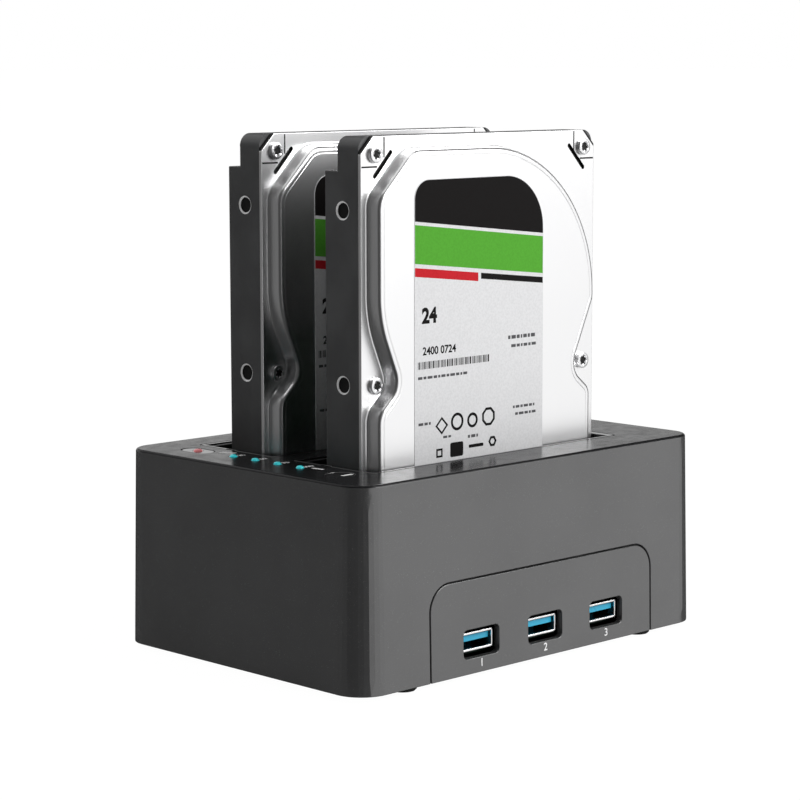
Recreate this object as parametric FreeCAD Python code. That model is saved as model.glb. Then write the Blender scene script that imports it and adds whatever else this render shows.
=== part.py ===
import FreeCAD, Part
import math
import os

# Two-bay drive duplicator with two docked low-profile drives, in millimetres.
# +X runs to the right as seen from the front, +Y to the back, +Z up. The origin lies on the table,
# under the centre of the dock's body.

V = FreeCAD.Vector

# Drives
DRIVE_W = 101.6
DRIVE_L = 147.0
FLANGE_T = 15.1          # the back of the casting to the cover's flange
PLATEAU_H = 4.8          # the raised area in front of the flange

# Bays and the deck around them
BAY_SIDE_GAP = 0.8
BAY_FRONT_GAP = 1.0
BAY_DEPTH = 32.6
BAY_PITCH = 43.2
DECK_LEFT = 21.15        # the deck's left edge to the bays
DECK_RIGHT = 24.55
DECK_FRONT = 16.6
DECK_BACK = 13.6
BODY_W = DECK_LEFT + DRIVE_W + 2 * BAY_SIDE_GAP + DECK_RIGHT
BODY_D = DECK_FRONT + BAY_PITCH + BAY_DEPTH + DECK_BACK
BODY_H = 60.9            # lower edge of the walls to the deck's surface

# Dock body
WALL_FLARE = 1.2         # how far each wall leans out at its lower edge
CORNER_R = 8.5
WALL = 2.2
STAND = 1.9              # the table to the walls' lower edge
DECK_T = 2.4
DECK_BEVEL = 0.9
SKIRT_T = 1.2            # locating skirt under the deck
SKIRT_H = 2.6
FIT_GAP = 0.15           # a moulded piece in its seat
FRONT_X = 2.0            # centre of the port panel

# Bottom cover, feet and screws
COVER_T = 2.0
COVER_LIFT = 0.6         # the cover's underside above the walls' lower edge
FOOT_R = 4.2
FOOT_INSET = 6.8         # a foot's centre in from the flared walls at front and back
FOOT_X = BODY_W / 2 - 22.05
FOOT_POCKET = 0.7
FOOT_BEVEL = 0.5
BOSS_R = 3.6
BOSS_X = BODY_W / 2 - 8.95
BOSS_Y = BODY_D / 2 - 27.0
BOSS_H = 18.0
SCREW_R = 1.3
SCREW_HEAD_R = 2.7
SCREW_HEAD_H = 1.2
SCREW_L = 9.0
THREAD_GAP = 0.05
SCREW_ROOM = 0.3         # a screw in its clearance hole
FIXING_EMBED = 1.0       # fixings and webs reach this far into what carries them
VENT_W = 2.0
VENT_L = 17.0
VENT_PITCH = 5.0
VENT_COUNT = 9
VENT_Y = 15.0            # centre line of each bank of vents, before and behind the middle

# Port panel and the ports in it
PANEL_W = 98.8
PANEL_H = 28.6           # above the walls' lower edge
PANEL_R = 8.0
PANEL_SEAM = 0.5
PANEL_LIP = 2.0          # the lip behind the housing's wall
PANEL_LIP_T = 1.2
PORT_PITCH = 28.0
PORT_CUT_W = 15.2
PORT_CUT_H = 8.7
PORT_CUT_R = 1.6
PORT_Z = 9.05            # the cut-outs' centre above the walls' lower edge
PORT_RISE = 0.2          # the port's centre above the cut-out's centre
PORT_SET_BACK = 1.8
USB_W = 13.1
USB_H = 5.7
USB_L = 12.6
USB_SHEET = 0.3
USB_R = 0.6              # the port shells' outer corners
USB_PLAY = 0.1           # the moulded block inside the shell
USB_TONGUE_W = 11.1
USB_TONGUE_T = 1.9
USB_TONGUE_RISE = 1.0    # the tongue's centre above the port's centre
USB_TONGUE_IN = 0.9      # the tongue's tip behind the mouth
USB_BLOCK_L = 3.6
USB_PIN_W = 0.7
USB_PIN_T = 0.12
USB_PIN_PITCH = 2.4
USB_PIN_IN = 0.6         # the contacts' ends behind the tongue's tip
USB_PINS = ((-1.5, 5.5), (-0.5, 6.5), (0.5, 6.5), (1.5, 5.5))   # place in pitches, length

# Rear ports
HOST_X = BODY_W / 2 - 14.95
HOST_W = 12.1
HOST_H = 10.8
HOST_L = 16.0
HOST_SHEET = 0.4
HOST_STEP = 2.6          # the narrower upper part of the square port
HOST_STEP_W = 8.6
HOST_CORE_W = 5.6
HOST_CORE_H = 3.2
HOST_CORE_RISE = 2.4     # the lower block above the board
HOST_CORE_IN = 1.5       # the blocks' ends behind the mouth
HOST_FLOOR_T = 2.0
HOST_TONGUE = (3.0, 1.6) # the upper tongue below the shell's top
JACK_X = -BODY_W / 2 + 12.45
JACK_W = 9.0
JACK_H = 11.0
JACK_L = 13.0
JACK_BORE_R = 3.15
JACK_BORE_L = 9.5
JACK_PIN_R = 1.0
JACK_PIN_IN = 0.8        # the pin's tip behind the mouth
JACK_R = 1.5
REAR_CUT_GAP = 0.5

# Boards
BOARD_T = 1.6
BOARD_X = BODY_W / 2 - 16.45   # half width of the main board
BOARD_FRONT = -BODY_D / 2 + 4.0
BOARD_REAR = BODY_D / 2 - 3.5
BOARD_EAR = 11.0         # the rear corners reach this far past the half width
BOARD_EAR_L = BOARD_REAR - BOSS_Y - BOSS_R - 0.4
BOARD_SCREW_R = 1.1
BOARD_SCREW_HEAD_H = 1.4
BOARD_SCREW_FLOOR = 0.5  # left under a standoff's hole
BOARD_R = 1.5
BOARD_SCREW_X = BOARD_X - 8.0
BOARD_SCREW_Y = BODY_D / 2 - 8.5
STANDOFF_R = 2.6
CHIP_W = 9.0
CHIP_D = 5.0
CHIP_T = 1.0
CHIP_PITCH = 46.0
CAPACITOR_R = 2.5
CAPACITOR_H = 7.0
CAPACITOR_PITCH = 8.0
CAPACITOR_STEPS = (-5, -4, 0, 4)

# Details of a drive
COVER_SHEET = 1.0
PLATEAU_WALL = 1.7       # the hollow behind the plateau, in from the plateau's edge
DRIVE_EDGE_R = 4.0
DRIVE_SEAT = 11.0        # the drives' lower edge above the walls' lower edge
STEP_L = 10.1            # the back edge is cut away over this length from the top
STEP_T = 5.3
SIDE_HOLE_R = 2.4
SIDE_HOLE_RING = 0.5
SIDE_HOLE_L = 4.0
SIDE_HOLE_IN = 7.7       # behind the flange
SIDE_HOLE_FIRST = 21.6
SIDE_HOLE_PITCH = 51.2
COVER_BEVEL = 5.2        # the cover's corners are cut at 45 degrees
COVER_R = 0.6
COVER_SCREW_R = 2.5
COVER_SCREW_H = 2.0
HEAD_BEVEL = 0.35
COVER_SCREW_IN = 5.5
COVER_SCREW_ROWS = (5.2, 72.7, DRIVE_L - 6.0)
SLIT_W = 1.4
SLIT_OUT = (5.6, 11.6)   # a slit's outer end, in from the side and down from the top
SLIT_IN = (12.1, 4.8)
LABEL_T = 0.15
LABEL_LEFT = 17.0
LABEL_TOP = 12.8
LABEL_W = DRIVE_W - 45.7
LABEL_END = DRIVE_L - 15.0
LABEL_CURVE = 16.5       # the label's right top corner, cut to the disc's curve
LABEL_R = 6.0
BOARD_RECESS = 1.8
DRIVE_BOARD_T = 1.2
DRIVE_BOARD_TOP = 62.0
DRIVE_BOARD_IN = 7.0     # in from the casting's sides
DRIVE_BOARD_R = 2.0
BOARD_ROOM = 2.0         # the recess around the board
MOTOR_ROOM = 1.5
DRIVE_BOARD_END = DRIVE_L - 7.5
MOTOR_R = 14.0
MOTOR_WELL = 1.0
MOTOR_SUNK = 0.3         # the motor's cap below the casting's back
MOTOR_DOWN = 51.0        # the spindle's axis below the top edge

# Plug and socket, both seen along the lower edge of a drive
PLUG_OFF = -20.68        # the plug's centre from the drive's centre
PLUG_T = 6.0
PLUG_W = 42.0
PLUG_IN = 3.7            # the tongues' centre plane in from the back of the casting
PLUG_CUT_W = PLUG_W + 1.2
PLUG_CUT_T = 7.6
PLUG_CUT_H = 6.5
PLUG_BAR_H = 2.2
TONGUE_T = 1.2
TONGUE_H = 4.0
# The tongues' starts from the plug's centre and their lengths, as shares of the plug's width
TONGUES = ((-0.467 * PLUG_W, 0.49 * PLUG_W), (0.152 * PLUG_W, 0.252 * PLUG_W))
TONGUE_KEY = 1.5
SOCKET_T = 5.8
SOCKET_W = PLUG_W - 0.4
SOCKET_GAP = 0.3
SOCKET_ROOM = 1.0        # round a socket in the bay's floor
SOCKET_R = 0.5
CONTACT_PITCH = 1.27
CONTACT_W = 0.7
CONTACT_T = 0.15

# Bay frames and flaps
BAY_WALL = 1.2
BAY_RIM_RIGHT = 1.5      # the rim is wider than the wall at the right
BAY_FLOOR = 1.6
BAY_FLANGE = 2.4
BAY_FLANGE_T = 1.5
BAY_SEAM = 0.35
BAY_R = 1.0
RIB = 0.5
RIB_W = 2.0
RIB_INSET = (4.0, 3.0)   # the ribs' centres in from the drive's flange and back
RIB_FOOT = 4.0           # the ribs' lower ends above the seat
WINDOW_STEP = 33.0       # the windows' pitch in the bay's walls
WINDOW_W = 26.0
WINDOW_FOOT = 14.0       # above the seat
WINDOW_HEAD = 7.0        # below the deck's underside
WINDOW_R = 3.0
NOTCH_L = 4.4
NOTCH_W = 0.8
NOTCH_SHELF = 0.4        # the notch's floor above the deck's underside
NOTCH_FROM_BACK = 14.6
FLAP_T = 1.6
FLAP_GAP = 0.3
PIVOT_DROP = 1.7         # the flap's pin below the deck's surface and in from the frame's back wall
PIN_R = 0.8
PIN_GAP = 0.05
KNUCKLE_R = 1.5
KNUCKLE_L = 14.0
FLAP_R = 0.8
FLAP_RIB = 1.0
FLAP_RIB_T = 1.2
FLAP_RIB_IN = 8.0        # the outer ribs in from the flap's ends
FLAP_RIB_OFF = 14.0      # the inner ribs from the flap's middle
FLAP_RIB_ENDS = (2.0, 4.0)   # above the free edge and below the pivot
SPRING_WIRE = 0.25
SPRING_TURNS = 3
SPRING_PITCH = 0.7
SPRING_LEG = 7.0
SPRING_GAP = 1.0         # from the middle knuckle
SPRING_ROOM = 0.2        # round the pin

# Deck margin: keys, lamps and their board
LAMP_FROM_BAY = 9.1
LAMP_PITCH = 10.0
LAMP_COUNT = 4
LAMP_Y = LAMP_PITCH * (LAMP_COUNT - 1) / 2 + 0.3
LAMP_R = 1.3
LAMP_FLANGE = 0.8
LAMP_FLANGE_T = 1.0
LAMP_GAP = 0.08
POWER_Y = BODY_D / 2 - 21.0
POWER_W = 6.6
POWER_L = 12.0
CLONE_Y = -POWER_Y
CLONE_R = 4.3
KEY_GAP = 0.25
KEY_SINK = 0.1           # the keys' tops below the deck's surface
KEY_FLANGE = 0.9
KEY_FLANGE_T = 1.0
KEY_TRAVEL = 0.8
KEY_STEM_R = 1.6
RED_LAMP_R = 1.5
RED_LAMP_SHIFT = 2.4     # its lamp on the board, from the lens's axis
STEM_GAP = 0.1           # a pressed key's stem above its switch
PIPE_GAP = 0.2           # a light pipe's foot above its lamp
LAMP_BOARD_R = 1.0
LAMP_BOARD_DROP = 11.2   # the lamp board's top below the deck's surface
LAMP_BOARD_T = 1.2
LAMP_BOARD_L = BODY_D - 22.0
LAMP_BOARD_GAP = 0.95    # to the wall and to the bay frames
SWITCH_SIZE = 6.0
SWITCH_H = 3.5
PLUNGER_H = 1.0
LAMP_CHIP = 1.6
LAMP_CHIP_H = 0.8
POST_R = 2.2
POST_IN = 6.05           # from the deck's edge
POST_Y = (LAMP_Y + POWER_Y) / 2 - 1.7

# Heights and places that follow
DECK_Z = STAND + BODY_H
UNDER_DECK = DECK_Z - DECK_T
COVER_Z = STAND + COVER_LIFT
COVER_TOP = COVER_Z + COVER_T
PORT_MID = STAND + PORT_Z + PORT_RISE
BOARD_TOP = PORT_MID - USB_H / 2
BOARD_UNDER = BOARD_TOP - BOARD_T
SEAT_Z = STAND + DRIVE_SEAT
DRIVE_TOP = SEAT_Z + DRIVE_L
BAY_LEFT = -BODY_W / 2 + DECK_LEFT
BAY_RIGHT = BODY_W / 2 - DECK_RIGHT
BAY_FRONT = -BODY_D / 2 + DECK_FRONT
BAY_BACK = BAY_FRONT + BAY_DEPTH
BAY_X = (BAY_LEFT + BAY_RIGHT) / 2
DRIVE_LEFT = BAY_LEFT + BAY_SIDE_GAP
DRIVE_FLANGE_Y = BAY_FRONT + BAY_FRONT_GAP + PLATEAU_H   # the front drive's flange
DRIVE_BACK_Y = DRIVE_FLANGE_Y + FLANGE_T
LAMP_X = BAY_LEFT - LAMP_FROM_BAY
LAMP_BOARD_EDGES = (
    -BODY_W / 2 + WALL + LAMP_BOARD_GAP,
    BAY_LEFT - BAY_WALL - BAY_FLANGE - 2 * LAMP_BOARD_GAP,
)
POST_X = -BODY_W / 2 + POST_IN
PIVOT_Y = BAY_BACK - PIVOT_DROP
PIVOT_Z = DECK_Z - PIVOT_DROP
FLAP_REACH = PIVOT_Y - BAY_FRONT - FLAP_GAP
PLUG_X = BAY_X + PLUG_OFF
PLUG_Y = DRIVE_BACK_Y - PLUG_IN
PLUG_BAR_Z = SEAT_Z + PLUG_CUT_H - PLUG_BAR_H
LAMP_BOARD_TOP = DECK_Z - LAMP_BOARD_DROP
REAR_Y = BODY_D / 2 + WALL_FLARE - WALL
MUCH = 200.0             # longer than anything that it cuts

# The raised area of a drive's cover, as (right of the left edge, below the top edge, corner radius)
PLATEAU = (
    (17.0, 4.7, 8.0),
    (DRIVE_W - 5.2, 4.7, 46.0),
    (DRIVE_W - 5.2, 52.6, 6.0),
    (DRIVE_W - 15.2, 74.3, 6.5),
    (DRIVE_W - 6.7, 81.2, 4.0),
    (DRIVE_W - 6.7, DRIVE_L - 17.0, 7.0),
    (DRIVE_W - 16.1, DRIVE_L - 8.0, 7.0),
    (14.0, DRIVE_L - 8.0, 7.0),
    (3.2, DRIVE_L - 17.0, 7.0),
    (3.2, 81.1, 6.0),
    (11.7, 73.2, 7.0),
    (3.4, 53.3, 36.0),
    (3.4, 18.2, 7.0),
)
# The plateau's side, as (height above the flange, how far the outline stands out)
PLATEAU_SIDE = ((0.0, 0.9), (3.7, 0.35), (4.4, 0.0), (PLATEAU_H, -0.7))


def box(x, y, z):
    """A block between three (low, high) pairs."""
    return Part.makeBox(x[1] - x[0], y[1] - y[0], z[1] - z[0], V(x[0], y[0], z[0]))


def bar(radius, start, end):
    """A round bar between two points."""
    way = V(*end) - V(*start)
    return Part.makeCylinder(radius, way.Length, V(*start), way)


def flat(z):
    """Places an outline's points level, at height z."""
    return lambda p: V(p.x, p.y, z)


def upright(y):
    """Places an outline's points upright and facing the front, at depth y."""
    return lambda p: V(p.x, y, p.y)


def rounded(corners, place):
    """A closed wire through (u, v, radius) corners, each rounded by its radius."""
    spans = []
    for i, (u, v, radius) in enumerate(corners):
        here = V(u, v, 0)
        after = corners[(i + 1) % len(corners)]
        back = (V(corners[i - 1][0], corners[i - 1][1], 0) - here).normalize()
        ahead = (V(after[0], after[1], 0) - here).normalize()
        if radius == 0:
            spans.append((here, None, here))
            continue
        half = back.getAngle(ahead) / 2
        reach = radius / math.tan(half)
        middle = (back + ahead).normalize() * (radius / math.sin(half) - radius)
        spans.append((here + back * reach, here + middle, here + ahead * reach))
    edges = []
    for i, (start, middle, end) in enumerate(spans):
        if middle is not None:
            edges.append(Part.Arc(place(start), place(middle), place(end)).toShape())
        follow = spans[(i + 1) % len(spans)][0]
        if (follow - end).Length > 1e-6:
            edges.append(Part.makeLine(place(end), place(follow)))
    return Part.Wire(edges)


def grown(corners, by):
    """The corners of an outline that stands out by a distance all round; the corners run clockwise."""
    moved = []
    for i, (u, v, radius) in enumerate(corners):
        here = V(u, v, 0)
        after = corners[(i + 1) % len(corners)]
        came = (here - V(corners[i - 1][0], corners[i - 1][1], 0)).normalize()
        goes = (V(after[0], after[1], 0) - here).normalize()
        out_before = V(came.y, -came.x, 0)
        out_after = V(goes.y, -goes.x, 0)
        shift = (out_before + out_after) * (by / (1 + out_before.dot(out_after)))
        turn = came.x * goes.y - came.y * goes.x
        moved.append((u + shift.x, v + shift.y, radius + by * math.copysign(1, turn)))
    return moved


def rectangle(u, v, radius):
    """The four corners of a rectangle between two (low, high) pairs."""
    return [(u[0], v[0], radius), (u[1], v[0], radius), (u[1], v[1], radius), (u[0], v[1], radius)]


def slab(corners, z):
    """A level outline filled between two heights."""
    return Part.Face(rounded(corners, flat(z[0]))).extrude(V(0, 0, z[1] - z[0]))


def plate(corners, y):
    """An upright outline filled between two depths."""
    return Part.Face(rounded(corners, upright(y[0]))).extrude(V(0, y[1] - y[0], 0))


def one_solid(shape):
    """The shape's only solid, with faces in one plane joined."""
    clean = shape.removeSplitter()
    if len(clean.Solids) != 1:
        raise ValueError("%d solids where one was meant" % len(clean.Solids))
    return clean.Solids[0]


def body_outline(z, inset):
    """The dock body's outline at a height, inside its outer face by inset."""
    lean = WALL_FLARE * (DECK_Z - z) / BODY_H
    half_w = BODY_W / 2 + lean - inset
    half_d = BODY_D / 2 + lean - inset
    return rectangle((-half_w, half_w), (-half_d, half_d), CORNER_R + lean - inset)


def body_form(z, inset):
    """The dock body's drafted form between two heights, inside its outer face by inset."""
    ends = [rounded(body_outline(level, inset), flat(level)) for level in z]
    return Part.makeLoft(ends, True, True)


def body_ring(z, inset, thick):
    """A drafted ring that follows the walls."""
    return body_form(z, inset).cut(body_form((z[0] - 1, z[1] + 1), inset + thick))


def panel_outline(by):
    """The port panel's outline, standing out by a distance; it is open to the walls' lower edge."""
    half = PANEL_W / 2 + by
    left, right = FRONT_X - half, FRONT_X + half
    top = STAND + PANEL_H + by
    radius = PANEL_R + by
    return [(left, 0, 0), (right, 0, 0), (right, top, radius), (left, top, radius)]


def bosses():
    """Centres of the four screw bosses."""
    return [(x, y) for x in (-BOSS_X, BOSS_X) for y in (-BOSS_Y, BOSS_Y)]


def board_holes():
    """Centres of the main board's screws."""
    return [(x, y) for x in (-BOARD_SCREW_X, BOARD_SCREW_X) for y in (-BOARD_SCREW_Y, BOARD_SCREW_Y)]


def feet_places():
    """Centres of the four feet."""
    y = BODY_D / 2 + WALL_FLARE - FOOT_INSET
    return [(sx * FOOT_X, sy * y) for sx in (-1, 1) for sy in (-1, 1)]


def port_places():
    """Centres of the three front ports."""
    return [FRONT_X + step * PORT_PITCH for step in (-1, 0, 1)]


def lamp_places():
    """Centres of the progress lamps along the deck's left margin."""
    return [LAMP_Y - step * LAMP_PITCH for step in range(LAMP_COUNT)]


def make_housing():
    shell = body_ring((STAND, UNDER_DECK), 0, WALL)
    shell = shell.cut(plate(panel_outline(PANEL_SEAM / 2), (-BODY_D, -BODY_D / 2 + WALL + FIXING_EMBED)))
    for x, y in bosses():
        side = math.copysign(1, x)
        post = bar(BOSS_R, (x, y, COVER_TOP), (x, y, COVER_TOP + BOSS_H))
        wall_x = side * (BODY_W / 2 - FIXING_EMBED)
        web = box(sorted((x, wall_x)), (y - WALL / 2, y + WALL / 2), (COVER_TOP, COVER_TOP + BOSS_H))
        hole = bar(SCREW_R + THREAD_GAP, (x, y, COVER_TOP), (x, y, COVER_TOP + SCREW_L))
        shell = shell.fuse(post.fuse(web)).cut(hole)
    through = (REAR_Y - WALL, REAR_Y + MUCH)
    shell = shell.cut(host_outline(REAR_CUT_GAP, through))
    jack = rectangle(
        (JACK_X - JACK_W / 2 - REAR_CUT_GAP, JACK_X + JACK_W / 2 + REAR_CUT_GAP),
        (BOARD_TOP - REAR_CUT_GAP, BOARD_TOP + JACK_H + REAR_CUT_GAP),
        JACK_R,
    )
    shell = shell.cut(plate(jack, through))
    return one_solid(shell)


def make_top_deck():
    deck = body_form((UNDER_DECK, DECK_Z), 0)
    top_edges = [e for e in deck.Edges if e.BoundBox.ZMin > DECK_Z - 0.01]
    deck = deck.makeFillet(DECK_BEVEL, top_edges)
    deck = deck.fuse(body_ring((UNDER_DECK - SKIRT_H, UNDER_DECK), WALL + FIT_GAP, SKIRT_T))
    for x, y in ((POST_X, POST_Y), (POST_X, -POST_Y)):
        deck = deck.fuse(bar(POST_R, (x, y, LAMP_BOARD_TOP), (x, y, UNDER_DECK)))
    through = (UNDER_DECK - 1, DECK_Z + 1)
    for shift in (0, BAY_PITCH):
        deck = deck.cut(slab(rim_outline(BAY_SEAM, shift), through))
    for y in lamp_places():
        deck = deck.cut(bar(LAMP_R + LAMP_GAP, (LAMP_X, y, through[0]), (LAMP_X, y, through[1])))
    deck = deck.cut(slab(power_outline(KEY_GAP), through))
    deck = deck.cut(bar(CLONE_R + KEY_GAP, (LAMP_X, CLONE_Y, through[0]), (LAMP_X, CLONE_Y, through[1])))
    return one_solid(deck)


def make_front_panel():
    tall = (STAND, UNDER_DECK)
    window = plate(panel_outline(-PANEL_SEAM / 2), (-BODY_D, 0))
    lip_window = plate(panel_outline(PANEL_LIP), (-BODY_D, 0))
    panel = body_ring(tall, 0, WALL).common(window)
    lip_ring = body_ring((COVER_TOP, UNDER_DECK), WALL, PANEL_LIP_T)
    lip = lip_ring.common(lip_window).cut(plate(panel_outline(-PANEL_LIP), (-BODY_D, 0)))
    panel = panel.fuse(lip)
    low = STAND + PORT_Z - PORT_CUT_H / 2
    for x in port_places():
        cut = rectangle((x - PORT_CUT_W / 2, x + PORT_CUT_W / 2), (low, low + PORT_CUT_H), PORT_CUT_R)
        panel = panel.cut(plate(cut, (-BODY_D, 0)))
    return one_solid(panel)


def make_bottom_cover():
    cover = body_form((COVER_Z, COVER_TOP), WALL + FIT_GAP)
    for x, y in board_holes():
        cover = cover.fuse(bar(STANDOFF_R, (x, y, COVER_TOP - FIXING_EMBED), (x, y, BOARD_UNDER)))
        floor = COVER_Z + BOARD_SCREW_FLOOR
        cover = cover.cut(bar(BOARD_SCREW_R + THREAD_GAP, (x, y, floor), (x, y, BOARD_UNDER)))
    for x, y in bosses():
        cover = cover.cut(bar(SCREW_R + SCREW_ROOM, (x, y, COVER_Z), (x, y, COVER_TOP)))
        cover = cover.cut(bar(SCREW_HEAD_R + SCREW_ROOM, (x, y, COVER_Z), (x, y, COVER_Z + SCREW_HEAD_H)))
    for x, y in feet_places():
        cover = cover.cut(bar(FOOT_R + THREAD_GAP, (x, y, COVER_Z), (x, y, COVER_Z + FOOT_POCKET)))
    for middle in (-VENT_Y, VENT_Y):
        for step in range(VENT_COUNT):
            x = (step - (VENT_COUNT - 1) / 2) * VENT_PITCH
            slot = rectangle(
                (x - VENT_W / 2, x + VENT_W / 2),
                (middle - VENT_L / 2, middle + VENT_L / 2),
                VENT_W / 2 - 0.01,
            )
            cover = cover.cut(slab(slot, (COVER_Z - 1, COVER_TOP + 1)))
    return one_solid(cover)


def make_feet():
    feet = []
    for x, y in feet_places():
        foot = bar(FOOT_R, (x, y, 0), (x, y, COVER_Z + FOOT_POCKET))
        rim = [e for e in foot.Edges if e.BoundBox.ZMax < 0.01]
        feet.append(foot.makeChamfer(FOOT_BEVEL, rim))
    return Part.makeCompound(feet)


def make_cover_screws():
    screws = []
    for x, y in bosses():
        head_top = COVER_Z + SCREW_HEAD_H
        head = bar(SCREW_HEAD_R, (x, y, COVER_Z), (x, y, head_top))
        shank = bar(SCREW_R, (x, y, head_top), (x, y, COVER_TOP + SCREW_L - 1))
        screws.append(head.fuse(shank).removeSplitter())
    return Part.makeCompound(screws)


def make_board_screws():
    screws = []
    for x, y in board_holes():
        head = bar(BOARD_SCREW_R * 2, (x, y, BOARD_TOP), (x, y, BOARD_TOP + BOARD_SCREW_HEAD_H))
        shank = bar(BOARD_SCREW_R, (x, y, COVER_Z + BOARD_SCREW_FLOOR + SCREW_ROOM), (x, y, BOARD_TOP))
        screws.append(head.fuse(shank).removeSplitter())
    return Part.makeCompound(screws)


def make_main_board():
    wide = BOARD_X + BOARD_EAR
    ear = BOARD_REAR - BOARD_EAR_L
    corners = [
        (-BOARD_X, BOARD_FRONT, BOARD_R),
        (BOARD_X, BOARD_FRONT, BOARD_R),
        (BOARD_X, ear, BOARD_R),
        (wide, ear, BOARD_R),
        (wide, BOARD_REAR, BOARD_R),
        (-wide, BOARD_REAR, BOARD_R),
        (-wide, ear, BOARD_R),
        (-BOARD_X, ear, BOARD_R),
    ]
    board = slab(corners, (BOARD_UNDER, BOARD_TOP))
    for x, y in board_holes():
        hole = bar(BOARD_SCREW_R + THREAD_GAP, (x, y, BOARD_UNDER - 1), (x, y, BOARD_TOP + 1))
        board = board.cut(hole)
    return one_solid(board)


def make_chips():
    """Flat bridge chips in the aisle between the sockets."""
    middle = (BAY_BACK + BAY_WALL + BAY_FRONT - BAY_WALL + BAY_PITCH) / 2
    y = (middle - CHIP_D / 2, middle + CHIP_D / 2)
    chips = []
    for step in (-0.5, 0.5):
        x = step * CHIP_PITCH
        chips.append(box((x - CHIP_W / 2, x + CHIP_W / 2), y, (BOARD_TOP, BOARD_TOP + CHIP_T)))
    return Part.makeCompound(chips)


def make_capacitors():
    """Upright capacitors behind the rear bay."""
    y = (BAY_BACK + BAY_PITCH + BAY_WALL + BOARD_REAR) / 2 + CAPACITOR_R / 5
    cans = []
    for step in CAPACITOR_STEPS:
        x = step * CAPACITOR_PITCH
        cans.append(bar(CAPACITOR_R, (x, y, BOARD_TOP), (x, y, BOARD_TOP + CAPACITOR_H)))
    return Part.makeCompound(cans)


def usb_mouth():
    """The depth of the front ports' mouths."""
    lean = WALL_FLARE * (DECK_Z - PORT_MID) / BODY_H
    return -(BODY_D / 2 + lean) + PORT_SET_BACK


def make_usb_shells():
    shells = []
    mouth = usb_mouth()
    for x in port_places():
        outer = rectangle((x - USB_W / 2, x + USB_W / 2), (PORT_MID - USB_H / 2, PORT_MID + USB_H / 2), USB_R)
        inner = rectangle(
            (x - USB_W / 2 + USB_SHEET, x + USB_W / 2 - USB_SHEET),
            (PORT_MID - USB_H / 2 + USB_SHEET, PORT_MID + USB_H / 2 - USB_SHEET),
            USB_R - USB_SHEET,
        )
        body = plate(outer, (mouth, mouth + USB_L))
        shells.append(one_solid(body.cut(plate(inner, (mouth - 1, mouth + USB_L - USB_SHEET)))))
    return Part.makeCompound(shells)


def make_usb_tongues():
    tongues = []
    mouth = usb_mouth()
    back = mouth + USB_L - USB_SHEET
    middle = PORT_MID + USB_TONGUE_RISE
    for x in port_places():
        block = box(
            (x - USB_W / 2 + USB_SHEET + USB_PLAY, x + USB_W / 2 - USB_SHEET - USB_PLAY),
            (back - USB_BLOCK_L, back),
            (PORT_MID - USB_H / 2 + USB_SHEET + USB_PLAY, PORT_MID + USB_H / 2 - USB_SHEET - USB_PLAY),
        )
        tongue = box(
            (x - USB_TONGUE_W / 2, x + USB_TONGUE_W / 2),
            (mouth + USB_TONGUE_IN, back - USB_BLOCK_L),
            (middle - USB_TONGUE_T / 2, middle + USB_TONGUE_T / 2),
        )
        tongues.append(one_solid(block.fuse(tongue)))
    return Part.makeCompound(tongues)


def make_usb_contacts():
    contacts = []
    mouth = usb_mouth()
    top = PORT_MID + USB_TONGUE_RISE - USB_TONGUE_T / 2
    for x in port_places():
        for step, length in USB_PINS:
            middle = x + step * USB_PIN_PITCH
            y = mouth + USB_TONGUE_IN + USB_PIN_IN
            contacts.append(
                box((middle - USB_PIN_W / 2, middle + USB_PIN_W / 2), (y, y + length), (top - USB_PIN_T, top))
            )
    return Part.makeCompound(contacts)


def host_outline(by, y):
    """The square rear port's stepped form, standing out by a distance."""
    half = HOST_W / 2 + by
    neck = HOST_STEP_W / 2 + by
    low = BOARD_TOP - by
    shoulder = BOARD_TOP + HOST_H - HOST_STEP + by
    top = BOARD_TOP + HOST_H + by
    corners = [
        (HOST_X - half, low, 0),
        (HOST_X + half, low, 0),
        (HOST_X + half, shoulder, 0),
        (HOST_X + neck, top, 0),
        (HOST_X - neck, top, 0),
        (HOST_X - half, shoulder, 0),
    ]
    return plate(corners, y)


def make_host_shell():
    mouth = REAR_Y + WALL
    back = mouth - HOST_L
    shell = host_outline(0, (back, mouth))
    shell = shell.cut(host_outline(-HOST_SHEET, (back + HOST_SHEET, mouth + 1)))
    return one_solid(shell)


def make_host_core():
    mouth = REAR_Y + WALL
    back = mouth - HOST_L + HOST_SHEET
    floor = host_outline(-HOST_SHEET - USB_PLAY, (back, back + HOST_FLOOR_T))
    low = BOARD_TOP + HOST_CORE_RISE
    top = BOARD_TOP + HOST_H
    across = (HOST_X - HOST_CORE_W / 2, HOST_X + HOST_CORE_W / 2)
    deep = (back + HOST_FLOOR_T, mouth - HOST_CORE_IN)
    core = box(across, deep, (low, low + HOST_CORE_H))
    upper = box(across, deep, [top - down for down in HOST_TONGUE])
    return one_solid(floor.fuse(core).fuse(upper))


def make_power_jack():
    mouth = REAR_Y + WALL
    body = box(
        (JACK_X - JACK_W / 2, JACK_X + JACK_W / 2), (mouth - JACK_L, mouth), (BOARD_TOP, BOARD_TOP + JACK_H)
    )
    middle = BOARD_TOP + JACK_H / 2
    bore = bar(JACK_BORE_R, (JACK_X, mouth - JACK_BORE_L, middle), (JACK_X, mouth + 1, middle))
    return one_solid(body.cut(bore))


def make_jack_pin():
    mouth = REAR_Y + WALL
    middle = BOARD_TOP + JACK_H / 2
    return bar(JACK_PIN_R, (JACK_X, mouth - JACK_BORE_L, middle), (JACK_X, mouth - JACK_PIN_IN, middle))


def power_outline(by):
    """The power key's long rounded outline, standing out by a distance."""
    half = POWER_W / 2 + by
    long = POWER_L / 2 + by
    return rectangle((LAMP_X - half, LAMP_X + half), (POWER_Y - long, POWER_Y + long), half - 0.01)


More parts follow.
